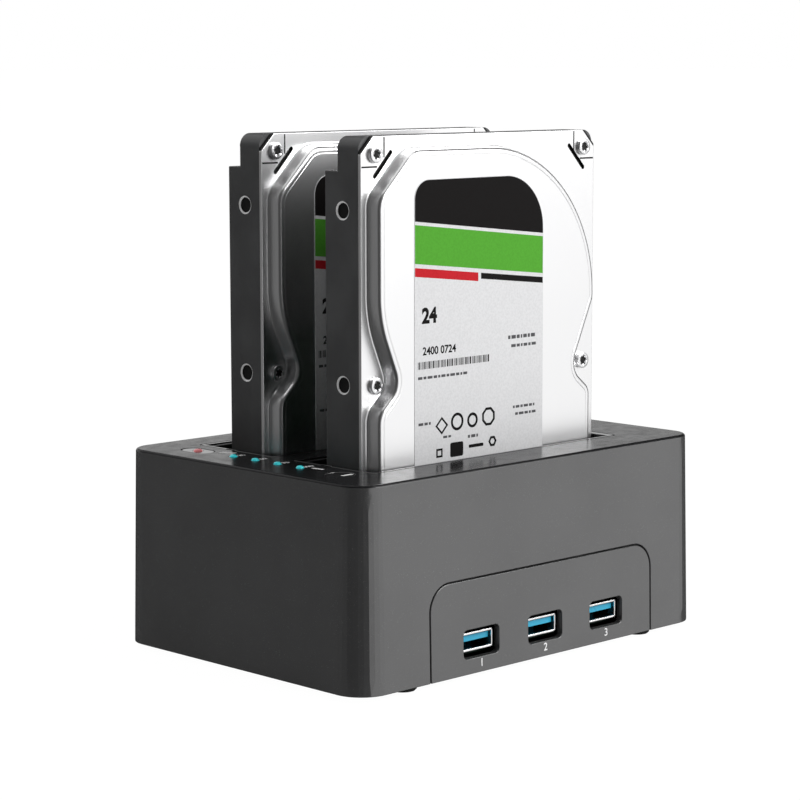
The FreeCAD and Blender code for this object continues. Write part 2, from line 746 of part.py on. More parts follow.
def make_power_button():
    cap = slab(power_outline(0), (UNDER_DECK, DECK_Z - KEY_SINK))
    flange = slab(power_outline(KEY_FLANGE), (UNDER_DECK - KEY_FLANGE_T, UNDER_DECK))
    y = POWER_Y - POWER_L / 4
    stem = bar(KEY_STEM_R, (LAMP_X, y, key_stem_end()), (LAMP_X, y, UNDER_DECK))
    hole = bar(RED_LAMP_R + LAMP_GAP, (LAMP_X, POWER_Y, UNDER_DECK - DECK_T), (LAMP_X, POWER_Y, DECK_Z))
    return one_solid(cap.fuse(flange).fuse(stem).cut(hole))


def make_clone_button():
    cap = bar(CLONE_R, (LAMP_X, CLONE_Y, UNDER_DECK), (LAMP_X, CLONE_Y, DECK_Z - KEY_SINK))
    flange_r = CLONE_R + KEY_FLANGE
    flange = bar(flange_r, (LAMP_X, CLONE_Y, UNDER_DECK - KEY_FLANGE_T), (LAMP_X, CLONE_Y, UNDER_DECK))
    stem = bar(KEY_STEM_R, (LAMP_X, CLONE_Y, key_stem_end()), (LAMP_X, CLONE_Y, UNDER_DECK))
    return one_solid(cap.fuse(flange).fuse(stem))


def key_stem_end():
    """The lower end of a key's stem, clear of its switch by the key's travel."""
    return LAMP_BOARD_TOP + SWITCH_H + KEY_TRAVEL + STEM_GAP


def make_red_lamp():
    return bar(RED_LAMP_R, (LAMP_X, POWER_Y, UNDER_DECK - KEY_FLANGE_T), (LAMP_X, POWER_Y, DECK_Z - KEY_SINK))


def make_light_pipes():
    pipes = []
    for y in lamp_places():
        low = LAMP_BOARD_TOP + LAMP_CHIP_H + PIPE_GAP
        pipe = bar(LAMP_R, (LAMP_X, y, low), (LAMP_X, y, DECK_Z))
        flange = bar(LAMP_R + LAMP_FLANGE, (LAMP_X, y, UNDER_DECK - LAMP_FLANGE_T), (LAMP_X, y, UNDER_DECK))
        pipes.append(one_solid(pipe.fuse(flange)))
    return Part.makeCompound(pipes)


def make_lamp_board():
    board = rectangle(LAMP_BOARD_EDGES, (-LAMP_BOARD_L / 2, LAMP_BOARD_L / 2), LAMP_BOARD_R)
    return slab(board, (LAMP_BOARD_TOP - LAMP_BOARD_T, LAMP_BOARD_TOP))


def make_lamps():
    half = LAMP_CHIP / 2
    height = (LAMP_BOARD_TOP, LAMP_BOARD_TOP + LAMP_CHIP_H)
    across = (LAMP_X - half, LAMP_X + half)
    places = lamp_places() + [POWER_Y + RED_LAMP_SHIFT]
    return Part.makeCompound([box(across, (y - half, y + half), height) for y in places])


def make_switches():
    switches = []
    half = SWITCH_SIZE / 2
    body_top = LAMP_BOARD_TOP + SWITCH_H - PLUNGER_H
    for y in (POWER_Y - POWER_L / 4, CLONE_Y):
        body = box((LAMP_X - half, LAMP_X + half), (y - half, y + half), (LAMP_BOARD_TOP, body_top))
        plunger = bar(KEY_STEM_R, (LAMP_X, y, body_top), (LAMP_X, y, LAMP_BOARD_TOP + SWITCH_H))
        switches.append(one_solid(body.fuse(plunger)))
    return Part.makeCompound(switches)


def rim_outline(by, shift):
    """A bay frame's rim as it shows in the deck, standing out by a distance."""
    across = (BAY_LEFT - BAY_WALL - by, BAY_RIGHT + BAY_WALL + BAY_RIM_RIGHT + by)
    deep = (BAY_FRONT - BAY_WALL - by + shift, BAY_BACK + BAY_WALL + by + shift)
    return rectangle(across, deep, BAY_R + by)


def make_bay_frame(shift):
    """The guide well: rim in the deck, flange under it, walls with windows, and a floor."""
    front, back = BAY_FRONT + shift, BAY_BACK + shift
    well = rectangle(
        (BAY_LEFT - BAY_WALL, BAY_RIGHT + BAY_WALL), (front - BAY_WALL, back + BAY_WALL), BAY_R
    )
    frame = slab(well, (SEAT_Z - BAY_FLOOR, UNDER_DECK))
    frame = frame.fuse(slab(rim_outline(0, shift), (UNDER_DECK - BAY_FLANGE_T, DECK_Z)))
    frame = frame.fuse(slab(rim_outline(BAY_FLANGE, shift), (UNDER_DECK - BAY_FLANGE_T, UNDER_DECK)))
    frame = frame.cut(box((BAY_LEFT, BAY_RIGHT), (front, back), (SEAT_Z, DECK_Z + 1)))
    for step in (-1, 0, 1):
        x = BAY_X + step * WINDOW_STEP
        height = (SEAT_Z + WINDOW_FOOT, UNDER_DECK - WINDOW_HEAD)
        window = rectangle((x - WINDOW_W / 2, x + WINDOW_W / 2), height, WINDOW_R)
        frame = frame.cut(plate(window, (front - 2 * BAY_WALL, back + 2 * BAY_WALL)))
    half_w = SOCKET_W / 2 + SOCKET_ROOM
    half_t = SOCKET_T / 2 + SOCKET_ROOM
    middle = PLUG_Y + shift
    hole = rectangle((PLUG_X - half_w, PLUG_X + half_w), (middle - half_t, middle + half_t), SOCKET_R)
    frame = frame.cut(slab(hole, (0, SEAT_Z + 1)))
    height = (SEAT_Z + RIB_FOOT, PIVOT_Z - FLAP_REACH - 1)
    for y in (DRIVE_FLANGE_Y + RIB_INSET[0] + shift, DRIVE_BACK_Y - RIB_INSET[1] + shift):
        for x in ((BAY_LEFT, BAY_LEFT + RIB), (BAY_RIGHT - RIB, BAY_RIGHT)):
            frame = frame.fuse(box(x, (y - RIB_W / 2, y + RIB_W / 2), height))
    pivot = (PIVOT_Y + shift, PIVOT_Z)
    frame = frame.cut(bar(PIN_R + PIN_GAP, (BAY_LEFT - MUCH / 2, *pivot), (BAY_RIGHT + MUCH / 2, *pivot)))
    notch_y = back + BAY_WALL - NOTCH_FROM_BACK
    left = BAY_LEFT - BAY_WALL
    notch = rectangle(
        (left - NOTCH_W, left + NOTCH_W), (notch_y - NOTCH_L / 2, notch_y + NOTCH_L / 2), NOTCH_W - 0.01
    )
    frame = frame.cut(slab(notch, (UNDER_DECK + NOTCH_SHELF, DECK_Z + 1)))
    return one_solid(frame)


def flap_knuckles():
    """The (low, high) stretches of pin that the flap's knuckles cover."""
    left, right = BAY_LEFT + FLAP_GAP, BAY_RIGHT - FLAP_GAP
    middle = (left + right) / 2
    return (
        (left, left + KNUCKLE_L),
        (middle - KNUCKLE_L / 2, middle + KNUCKLE_L / 2),
        (right - KNUCKLE_L, right),
    )


def make_flap(shift):
    """The dust flap, hanging open behind the drive; its smooth face looks to the front."""
    left, right = BAY_LEFT + FLAP_GAP, BAY_RIGHT - FLAP_GAP
    face = PIVOT_Y - PIVOT_DROP + shift
    tail = PIVOT_DROP - FLAP_GAP
    free = PIVOT_Z - FLAP_REACH
    flap = plate(rectangle((left, right), (free, PIVOT_Z + tail), FLAP_R), (face, face + FLAP_T))
    back = face + FLAP_T
    middle = (left + right) / 2
    low = free + FLAP_RIB_ENDS[0]
    ribs = (left + FLAP_RIB_IN, middle - FLAP_RIB_OFF, middle + FLAP_RIB_OFF, right - FLAP_RIB_IN)
    for x in ribs:
        across = (x - FLAP_RIB_T / 2, x + FLAP_RIB_T / 2)
        flap = flap.fuse(box(across, (back, back + FLAP_RIB), (low, PIVOT_Z - FLAP_RIB_ENDS[1])))
    across = (left + FLAP_RIB_ENDS[0], right - FLAP_RIB_ENDS[0])
    flap = flap.fuse(box(across, (back, back + FLAP_RIB), (low, low + FLAP_RIB_T)))
    pivot = (PIVOT_Y + shift, PIVOT_Z)
    clear = KNUCKLE_R + FLAP_GAP
    flap = flap.cut(bar(clear, (left - 1, *pivot), (right + 1, *pivot)))
    for low, high in flap_knuckles():
        block = box((low, high), (back - FLAP_T, pivot[0]), (PIVOT_Z - KNUCKLE_R, PIVOT_Z + KNUCKLE_R))
        flap = flap.fuse(block).fuse(bar(KNUCKLE_R, (low, *pivot), (high, *pivot)))
    return one_solid(flap.cut(bar(PIN_R + PIN_GAP, (left - 1, *pivot), (right + 1, *pivot))))


def make_flap_pin(shift):
    pivot = (PIVOT_Y + shift, PIVOT_Z)
    ends = (BAY_LEFT - BAY_WALL + 2 * PIN_GAP, BAY_RIGHT + BAY_WALL - 2 * PIN_GAP)
    return bar(PIN_R, (ends[0], *pivot), (ends[1], *pivot))


def make_flap_spring(shift):
    """A torsion spring on the pin, beside the middle knuckle, with both legs hanging behind the flap."""
    start = flap_knuckles()[1][1] + SPRING_GAP
    radius = PIN_R + SPRING_ROOM + SPRING_WIRE
    coil = Part.makeHelix(SPRING_PITCH, SPRING_PITCH * SPRING_TURNS, radius)
    section = Part.Wire([Part.makeCircle(SPRING_WIRE, V(radius, 0, 0), V(0, 1, 0))])
    wire = Part.Wire(coil.Edges).makePipeShell([section], True, True)
    legs = []
    for z in (0.0, SPRING_PITCH * SPRING_TURNS):
        legs.append(Part.makeCylinder(SPRING_WIRE, SPRING_LEG, V(radius, 0, z), V(0, -1, 0)))
    spring = wire.fuse(legs[0]).fuse(legs[1])
    turn = FreeCAD.Rotation(V(1, 1, 1), 120)
    spring.Placement = FreeCAD.Placement(V(start, PIVOT_Y + shift, PIVOT_Z), turn)
    return spring


def make_socket(shift):
    """The upright socket on the main board, with two slots for the plug's tongues."""
    y = PLUG_Y + shift
    top = PLUG_BAR_Z - SOCKET_GAP
    across = (PLUG_X - SOCKET_W / 2, PLUG_X + SOCKET_W / 2)
    socket = slab(rectangle(across, (y - SOCKET_T / 2, y + SOCKET_T / 2), SOCKET_R), (BOARD_TOP, top))
    for start, length in TONGUES:
        socket = socket.cut(tongue_form(start, length, SOCKET_GAP, shift))
    return one_solid(socket)


def tongue_form(start, length, by, shift):
    """A plug tongue with its small key, standing out by a distance on every side but the top."""
    y = PLUG_Y + shift
    low = PLUG_BAR_Z - TONGUE_H - by
    left, right = PLUG_X + start - by, PLUG_X + start + length + by
    blade = box((left, right), (y - TONGUE_T / 2 - by, y + TONGUE_T / 2 + by), (low, PLUG_BAR_Z))
    key = box((left, left + TONGUE_T + 2 * by), (y, y + TONGUE_KEY + by), (low, PLUG_BAR_Z))
    return blade.fuse(key)


def make_socket_contacts(shift):
    """Spring contacts that stand against the front wall of each slot."""
    contacts = []
    wall_y = PLUG_Y + shift - TONGUE_T / 2 - SOCKET_GAP
    low = PLUG_BAR_Z - TONGUE_H
    for start, length in TONGUES:
        count = int(length / CONTACT_PITCH) - 1
        first = PLUG_X + start + (length - (count - 1) * CONTACT_PITCH) / 2
        for step in range(count):
            x = first + step * CONTACT_PITCH
            contacts.append(
                box((x - CONTACT_W / 2, x + CONTACT_W / 2), (wall_y, wall_y + CONTACT_T), (low, low + 3))
            )
    return Part.makeCompound(contacts)


def on_drive(corners):
    """Turns a drive's (right, down, radius) corners into upright (x, z, radius) corners."""
    return [(DRIVE_LEFT + u, DRIVE_TOP - v, radius) for u, v, radius in corners]


def drive_frame_outline(by, radius):
    """A drive's front outline, pulled in by a distance."""
    return on_drive(rectangle((by, DRIVE_W - by), (by, DRIVE_L - by), radius))


def make_drive_base(shift):
    """The cast body: side screw holes, a stepped back edge, and recesses for board, motor and plug."""
    front = DRIVE_FLANGE_Y + COVER_SHEET + shift
    back = DRIVE_BACK_Y + shift
    base = plate(drive_frame_outline(0, DRIVE_EDGE_R), (front, back))
    left, right = DRIVE_LEFT, DRIVE_LEFT + DRIVE_W
    step = (DRIVE_TOP - STEP_L, DRIVE_TOP + 1)
    base = base.cut(box((left - 1, right + 1), (back - STEP_T, back + 1), step))
    y = DRIVE_FLANGE_Y + SIDE_HOLE_IN + shift
    for row in range(3):
        z = DRIVE_TOP - SIDE_HOLE_FIRST - row * SIDE_HOLE_PITCH
        for edge, way in ((left, 1), (right, -1)):
            base = base.cut(bar(SIDE_HOLE_R, (edge, y, z), (edge + way * SIDE_HOLE_L, y, z)))
            ring = Part.makeCone(
                SIDE_HOLE_R + SIDE_HOLE_RING, SIDE_HOLE_R, SIDE_HOLE_RING, V(edge, y, z), V(way, 0, 0)
            )
            base = base.cut(ring)
    across = (DRIVE_BOARD_IN - BOARD_ROOM, DRIVE_W - DRIVE_BOARD_IN + BOARD_ROOM)
    down = (DRIVE_BOARD_TOP - BOARD_ROOM, DRIVE_BOARD_END + BOARD_ROOM / 2)
    recess = on_drive(rectangle(across, down, DRIVE_BOARD_R + BOARD_ROOM / 2))
    base = base.cut(plate(recess, (back - BOARD_RECESS, back + 1)))
    motor = (DRIVE_LEFT + DRIVE_W / 2, DRIVE_TOP - MOTOR_DOWN)
    well = bar(MOTOR_R + MOTOR_ROOM, (motor[0], back - MOTOR_WELL, motor[1]), (motor[0], back + 1, motor[1]))
    hub = bar(MOTOR_R, (motor[0], back - 2 * MOTOR_WELL, motor[1]), (motor[0], back - MOTOR_SUNK, motor[1]))
    base = base.cut(well).fuse(hub)
    plug = (PLUG_X - PLUG_CUT_W / 2, PLUG_X + PLUG_CUT_W / 2)
    base = base.cut(box(plug, (back - PLUG_CUT_T, back + 1), (SEAT_Z - 1, SEAT_Z + PLUG_CUT_H)))
    return one_solid(base)


def make_drive_lid(shift):
    """The stamped cover: bevelled flange with slits, and the raised plateau with its drawn side."""
    flange_y = DRIVE_FLANGE_Y + shift
    cut = COVER_BEVEL
    corners = [
        (cut, 0, COVER_R),
        (DRIVE_W - cut, 0, COVER_R),
        (DRIVE_W, cut, COVER_R),
        (DRIVE_W, DRIVE_L - cut, COVER_R),
        (DRIVE_W - cut, DRIVE_L, COVER_R),
        (cut, DRIVE_L, COVER_R),
        (0, DRIVE_L - cut, COVER_R),
        (0, cut, COVER_R),
    ]
    lid = plate(on_drive(corners), (flange_y, flange_y + COVER_SHEET))
    rings = [
        rounded(on_drive(grown(PLATEAU, out)), upright(flange_y - height)) for height, out in PLATEAU_SIDE
    ]
    for outer, inner in zip(rings, rings[1:]):
        lid = lid.fuse(Part.makeLoft([outer, inner], True, True))
    inside = flange_y - PLATEAU_H + COVER_SHEET
    hollow = plate(on_drive(grown(PLATEAU, -PLATEAU_WALL)), (inside, flange_y + MUCH))
    lid = lid.cut(hollow)
    for outer_end, inner_end in (
        (SLIT_OUT, SLIT_IN),
        ((DRIVE_W - SLIT_OUT[0], SLIT_OUT[1]), (DRIVE_W - SLIT_IN[0], SLIT_IN[1])),
    ):
        lid = lid.cut(slit(outer_end, inner_end, (flange_y - 1, flange_y + COVER_SHEET)))
    return one_solid(lid)


def slit(start, end, y):
    """A slot with round ends between two points of a drive's front."""
    a = V(DRIVE_LEFT + start[0], y[0], DRIVE_TOP - start[1])
    b = V(DRIVE_LEFT + end[0], y[0], DRIVE_TOP - end[1])
    depth = V(0, y[1] - y[0], 0)
    along = (b - a).normalize()
    side = along.cross(V(0, 1, 0)) * (SLIT_W / 2)
    loop = Part.makePolygon([a + side, b + side, b - side, a - side, a + side])
    form = Part.Face(loop).extrude(depth)
    for end_point in (a, b):
        form = form.fuse(Part.makeCylinder(SLIT_W / 2, depth.Length, end_point, depth))
    return form


def make_drive_screws(shift):
    heads = []
    y = DRIVE_FLANGE_Y + shift
    for u in (COVER_SCREW_IN, DRIVE_W - COVER_SCREW_IN):
        for v in COVER_SCREW_ROWS:
            x, z = DRIVE_LEFT + u, DRIVE_TOP - v
            head = bar(COVER_SCREW_R, (x, y, z), (x, y - COVER_SCREW_H, z))
            rim = [e for e in head.Edges if e.BoundBox.YMax < y - COVER_SCREW_H + 0.01]
            heads.append(head.makeChamfer(HEAD_BEVEL, rim))
    return Part.makeCompound(heads)


def make_drive_label(shift):
    """The label on the plateau: three rounded corners and one cut to the disc's curve."""
    y = DRIVE_FLANGE_Y - PLATEAU_H + shift
    right = LABEL_LEFT + LABEL_W
    corners = [
        (LABEL_LEFT, LABEL_TOP, LABEL_R),
        (right, LABEL_TOP, LABEL_CURVE),
        (right, LABEL_END, LABEL_R / 3),
        (LABEL_LEFT, LABEL_END, LABEL_R / 3),
    ]
    return plate(on_drive(corners), (y - LABEL_T, y))


def make_drive_board(shift):
    """The circuit board in the casting's back, cut round the motor."""
    back = DRIVE_BACK_Y - BOARD_RECESS + shift
    across = (DRIVE_BOARD_IN, DRIVE_W - DRIVE_BOARD_IN)
    corners = rectangle(across, (DRIVE_BOARD_TOP, DRIVE_BOARD_END), DRIVE_BOARD_R)
    board = plate(on_drive(corners), (back, back + DRIVE_BOARD_T))
    motor = (DRIVE_LEFT + DRIVE_W / 2, DRIVE_TOP - MOTOR_DOWN)
    ends = ((motor[0], y, motor[1]) for y in (back - MUCH, back + MUCH))
    board = board.cut(bar(MOTOR_R + 2 * MOTOR_ROOM, *ends))
    return one_solid(board)


def make_drive_plug(shift):
    """The plug in the drive's lower edge: a bar with two keyed tongues that point down."""
    y = PLUG_Y + shift
    across = (PLUG_X - PLUG_W / 2, PLUG_X + PLUG_W / 2)
    plug = box(across, (y - PLUG_T / 2, y + PLUG_T / 2), (PLUG_BAR_Z, SEAT_Z + PLUG_CUT_H))
    for start, length in TONGUES:
        plug = plug.fuse(tongue_form(start, length, 0, shift))
    return one_solid(plug)


def all_nodes():
    """Every node of the assembly, by name."""
    nodes = {
        "housing": make_housing(),
        "top_deck": make_top_deck(),
        "front_panel": make_front_panel(),
        "bottom_cover": make_bottom_cover(),
        "rubber_feet": make_feet(),
        "cover_screws": make_cover_screws(),
        "board_screws": make_board_screws(),
        "main_board": make_main_board(),
        "bridge_chips": make_chips(),
        "capacitors": make_capacitors(),
        "usb_shells": make_usb_shells(),
        "usb_tongues": make_usb_tongues(),
        "usb_contacts": make_usb_contacts(),
        "host_port_shell": make_host_shell(),
        "host_port_tongue": make_host_core(),
        "power_jack": make_power_jack(),
        "power_jack_pin": make_jack_pin(),
        "power_button": make_power_button(),
        "clone_button": make_clone_button(),
        "power_light_pipe": make_red_lamp(),
        "progress_light_pipes": make_light_pipes(),
        "indicator_board": make_lamp_board(),
        "indicator_lamps": make_lamps(),
        "key_switches": make_switches(),
    }
    for bay, shift in (("front", 0), ("rear", BAY_PITCH)):
        nodes[bay + "_bay_frame"] = make_bay_frame(shift)
        nodes[bay + "_flap"] = make_flap(shift)
        nodes[bay + "_flap_pin"] = make_flap_pin(shift)
        nodes[bay + "_flap_spring"] = make_flap_spring(shift)
        nodes[bay + "_socket"] = make_socket(shift)
        nodes[bay + "_socket_contacts"] = make_socket_contacts(shift)
        nodes[bay + "_drive_base"] = make_drive_base(shift)
        nodes[bay + "_drive_lid"] = make_drive_lid(shift)
        nodes[bay + "_drive_screws"] = make_drive_screws(shift)
        nodes[bay + "_drive_label"] = make_drive_label(shift)
        nodes[bay + "_drive_board"] = make_drive_board(shift)
        nodes[bay + "_drive_plug"] = make_drive_plug(shift)
    return nodes


os.makedirs("parts", exist_ok=True)
for name, shape in all_nodes().items():
    bad = [s for s in shape.Solids if not s.isValid() or s.Volume <= 0]
    if bad or not shape.Solids:
        raise ValueError("%s is not a set of sound solids" % name)
    shape.exportStep("parts/%s.step" % name)
    print(name, len(shape.Solids), "solids", round(shape.Volume), "mm3")
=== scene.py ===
"""Dresses the two-bay drive duplicator and its docked drives. All mesh code works in millimetres."""

import math

import bmesh
import bpy
from bpy.props import FloatProperty, FloatVectorProperty, IntProperty, PointerProperty
from bpy.types import Operator, Panel, PropertyGroup
from mathutils import Matrix, Vector


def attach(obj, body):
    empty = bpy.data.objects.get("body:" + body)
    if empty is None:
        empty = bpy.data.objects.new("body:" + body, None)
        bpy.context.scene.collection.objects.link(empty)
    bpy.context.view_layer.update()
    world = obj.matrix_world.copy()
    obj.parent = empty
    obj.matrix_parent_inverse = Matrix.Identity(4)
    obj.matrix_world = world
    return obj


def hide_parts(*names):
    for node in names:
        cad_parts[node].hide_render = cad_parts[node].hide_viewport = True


bl_info = {
    "name": "Drive Duplicator Dresser",
    "version": (1, 0, 0),
    "blender": (4, 5, 0),
    "location": "3D View > Sidebar > Duplicator",
    "description": "Builds the visible pieces, finishes and stage of a two-bay drive duplicator",
    "category": "Object",
}

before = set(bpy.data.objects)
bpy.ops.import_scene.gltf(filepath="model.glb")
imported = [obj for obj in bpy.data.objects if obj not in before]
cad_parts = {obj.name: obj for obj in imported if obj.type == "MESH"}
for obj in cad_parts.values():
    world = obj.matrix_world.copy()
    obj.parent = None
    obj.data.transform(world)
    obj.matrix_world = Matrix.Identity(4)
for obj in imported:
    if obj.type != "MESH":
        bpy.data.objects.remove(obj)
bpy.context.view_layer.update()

MM = 0.001
BAYS = (("front", 0.0), ("rear", 43.2))

# Sizes and places that the pieces share, in millimetres
DECK_Z = 62.8
SEAM_Z = 60.4
BODY_D = 106.0
BODY_H = 60.9
WALL_FLARE = 1.2
DRAFT = math.atan(WALL_FLARE / BODY_H)
DRIVE_LEFT = -52.5
DRIVE_TOP = 159.9
DRIVE_W = 101.6
DRIVE_L = 147.0
FLANGE_Y = -30.6
PLATEAU_H = 4.8
SHEET = 1.0
PORT_X = 2.0
PORT_PITCH = 28.0
PORT_Z = 11.15
LAMP_X = -62.3
LAMP_Y = 15.5
LAMP_PITCH = 10.0

# The cover's raised area as corners (right, down, radius) of the drive's front
PLATEAU = (
    (17.0, 4.7, 8.0),
    (96.4, 4.7, 46.0),
    (96.4, 52.6, 6.0),
    (86.4, 74.3, 6.5),
    (94.9, 81.2, 4.0),
    (94.9, 130.0, 7.0),
    (85.5, 139.0, 7.0),
    (14.0, 139.0, 7.0),
    (3.2, 130.0, 7.0),
    (3.2, 81.1, 6.0),
    (11.7, 73.2, 7.0),
    (3.4, 53.3, 36.0),
    (3.4, 18.2, 7.0),
)


# ---------------------------------------------------------------- settings


class DockSettings(PropertyGroup):
    edge: FloatProperty(
        name="Moulded edge", description="Rounding of the dock's moulded edges",
        default=0.00016, unit="LENGTH",
    )
    shell: FloatVectorProperty(
        name="Shell colour", description="Colour of the walls and the port panel",
        default=(0.057, 0.057, 0.058), subtype="COLOR", min=0, max=1,
    )
    deck: FloatVectorProperty(
        name="Deck colour", description="Colour of the deck and the bay frames",
        default=(0.012, 0.012, 0.013), subtype="COLOR", min=0, max=1,
    )
    lamp: FloatVectorProperty(
        name="Progress lamp", description="Colour of the progress lamps",
        default=(0.035, 0.50, 0.54), subtype="COLOR", min=0, max=1,
    )
    tongue: FloatVectorProperty(
        name="Port tongue", description="Colour of the tongues in the data ports",
        default=(0.03, 0.43, 0.66), subtype="COLOR", min=0, max=1,
    )


class DriveSettings(PropertyGroup):
    shoulder: FloatProperty(
        name="Cover shoulder", description="Rounding where the cover's side meets its raised area",
        default=0.00125, unit="LENGTH",
    )
    casting: FloatVectorProperty(
        name="Casting colour", description="Colour of the coated casting",
        default=(0.088, 0.089, 0.091), subtype="COLOR", min=0, max=1,
    )
    cover: FloatVectorProperty(
        name="Cover colour", description="Colour of the stamped cover",
        default=(0.95, 0.95, 0.955), subtype="COLOR", min=0, max=1,
    )
    turn_seed: IntProperty(
        name="Screw turn seed", description="Seed for how the screw heads are turned", default=7
    )


class StageSettings(PropertyGroup):
    key: FloatProperty(
        name="Key light", description="Power of the soft key light", default=15.0, unit="POWER"
    )
    fill: FloatProperty(name="Fill", description="Strength of the studio's surroundings", default=1.0)
    lens: FloatProperty(
        name="Lens", description="Focal length of the camera", default=0.11278, unit="LENGTH"
    )


# ---------------------------------------------------------------- shader maths


class Value:
    """A shader socket that can be used in Python expressions."""

    def __init__(self, finish, socket):
        self.finish = finish
        self.socket = socket

    def maths(self, operation, *others):
        settings = {"operation": operation}
        return self.finish.node("ShaderNodeMath", settings, dict(enumerate((self,) + others)))

    def __add__(self, other):
        return self.maths("ADD", other)

    def __radd__(self, other):
        return self.finish.number(other).maths("ADD", self)

    def __sub__(self, other):
        return self.maths("SUBTRACT", other)

    def __rsub__(self, other):
        return self.finish.number(other).maths("SUBTRACT", self)

    def __mul__(self, other):
        return self.maths("MULTIPLY", other)

    def above(self, level):
        return self.maths("GREATER_THAN", level)

    def below(self, level):
        return self.maths("LESS_THAN", level)

    def wave(self):
        return self.maths("SINE")

    def fade(self, low, high, start=0.0, end=1.0):
        """Goes smoothly from start to end while this goes from low to high."""
        settings = {"interpolation_type": "SMOOTHSTEP"}
        inputs = {0: self, 1: low, 2: high, 3: start, 4: end}
        return self.finish.node("ShaderNodeMapRange", settings, inputs)


class Finish:
    """A node-based surface finish that is measured in the piece's own place."""

    def __init__(self, name, world=False):
        if world:
            self.owner = bpy.data.worlds.new(name)
            self.end = "ShaderNodeOutputWorld"
        else:
            self.owner = bpy.data.materials.new(name)
            self.end = "ShaderNodeOutputMaterial"
        self.owner.use_nodes = True
        self.tree = self.owner.node_tree
        self.tree.nodes.clear()

    def node(self, kind, settings=None, inputs=None, output=0):
        """Adds any node: its settings first, then values or links by socket name or number."""
        made = self.tree.nodes.new(kind)
        for key, value in (settings or {}).items():
            setattr(made, key, value)
        for key, value in (inputs or {}).items():
            socket = made.inputs[key]
            if isinstance(value, Value):
                self.tree.links.new(value.socket, socket)
            elif hasattr(socket.default_value, "__len__") and len(socket.default_value) == 4:
                socket.default_value = (*tuple(value)[:3], 1.0)
            else:
                socket.default_value = value
        return Value(self, made.outputs[output])

    def number(self, amount):
        """A plain number as a socket."""
        made = self.tree.nodes.new("ShaderNodeValue")
        made.outputs[0].default_value = amount
        return Value(self, made.outputs[0])

    def place(self):
        """Object coordinates, as a vector."""
        return self.node("ShaderNodeTexCoord", output="Object")

    def axes(self):
        """Object coordinates in millimetres, as three numbers."""
        apart = self.tree.nodes.new("ShaderNodeSeparateXYZ")
        self.tree.links.new(self.place().socket, apart.inputs[0])
        return [Value(self, out) * 1000.0 for out in apart.outputs]

    def stretched(self, scale):
        """Object coordinates scaled differently along each axis."""
        return self.node("ShaderNodeMapping", None, {"Vector": self.place(), "Scale": scale})

    def noise(self, scale, detail=3.0, rough=0.5, vector=None):
        inputs = {"Vector": vector or self.place(), "Scale": scale, "Detail": detail, "Roughness": rough}
        return self.node("ShaderNodeTexNoise", None, inputs)

    def mix(self, factor, first, second):
        """A colour between two colours."""
        inputs = {0: factor, 6: first, 7: second}
        return self.node("ShaderNodeMix", {"data_type": "RGBA"}, inputs, output=2)

    def bump(self, height, strength, distance):
        inputs = {"Height": height, "Strength": strength, "Distance": distance}
        return self.node("ShaderNodeBump", None, inputs)

    def skin(self, **inputs):
        """Ends the finish in one principled shader; underscores in the names stand for spaces."""
        named = {key.replace("_", " "): value for key, value in inputs.items()}
        self.close(self.node("ShaderNodeBsdfPrincipled", None, named))
        return self.owner

    def close(self, shader):
        """Links the last shader to the output."""
        last = self.tree.nodes.new(self.end)
        self.tree.links.new(shader.socket, last.inputs[0])


def scaled(colour, by):
    """A lighter or darker colour."""
    return tuple(min(1.0, part * by) for part in colour)


def moulded(name, colour, roughness, peel=0.000012, ior=1.5, tone=0.08):
    """Moulded gloss plastic: a faint orange peel, a soft tone change and fine handling haze."""
    f = Finish(name)
    cloud = f.noise(34.0, 3.0)
    haze = f.noise(260.0, 4.0, 0.6)
    dust = f.noise(5200.0, 1.0).fade(0.66, 0.80)
    paint = f.mix(cloud.fade(0.3, 0.7), scaled(colour, 1 - tone), scaled(colour, 1 + tone))
    paint = f.mix(dust * 0.10, paint, (0.45, 0.45, 0.46))
    gloss = haze.fade(0.25, 0.80, roughness * 0.85, roughness * 1.25) + dust * 0.10
    peel_height = f.noise(620.0, 2.0) + f.noise(2400.0, 1.0) * 0.18
    return f.skin(
        Base_Color=paint, Roughness=gloss, IOR=ior, Normal=f.bump(peel_height, 0.5, peel)
    )


def textured(name, colour, roughness, grain=2600.0, depth=0.00003):
    """Satin moulded plastic with a spark-eroded texture."""
    f = Finish(name)
    fine = f.noise(grain, 3.0, 0.65)
    cloud = f.noise(45.0, 3.0)
    paint = f.mix(cloud.fade(0.3, 0.7), scaled(colour, 0.88), scaled(colour, 1.14))
    return f.skin(
        Base_Color=paint, Roughness=fine.fade(0.2, 0.8, roughness - 0.06, roughness + 0.08), IOR=1.48,
        Normal=f.bump(fine, 0.6, depth),
    )


def metal(name, colour, roughness, along=(60.0, 60.0, 1600.0), depth=0.000006, tone=0.05):
    """Sheet metal with a fine grain that runs along one axis."""
    f = Finish(name)
    grain = f.noise(1.0, 3.0, 0.6, f.stretched(along))
    cloud = f.noise(40.0, 3.0)
    paint = f.mix(cloud.fade(0.3, 0.7), scaled(colour, 1 - tone), colour)
    gloss = grain.fade(0.25, 0.75, roughness * 0.8, roughness * 1.25)
    return f.skin(Base_Color=paint, Metallic=1.0, Roughness=gloss, Normal=f.bump(grain, 0.5, depth))


def port_plate_painted_shade(name, mouth):
    """Plated port shells, plated grey at the mouth and painted darker towards their backs, as painted
    shade inside the ports.
    """
    f = Finish(name)
    y = f.axes()[1]
    grain = f.noise(1.0, 3.0, 0.6, f.stretched((90.0, 500.0, 90.0)))
    # Painted shade: the colour fades from plated grey to near-black over 3.5 mm behind the mouth.
    paint = f.mix((y - mouth).fade(0.0, 3.5), (0.80, 0.80, 0.81), (0.03, 0.03, 0.03))
    return f.skin(Base_Color=paint, Metallic=1.0, Roughness=grain.fade(0.25, 0.75, 0.18, 0.28))


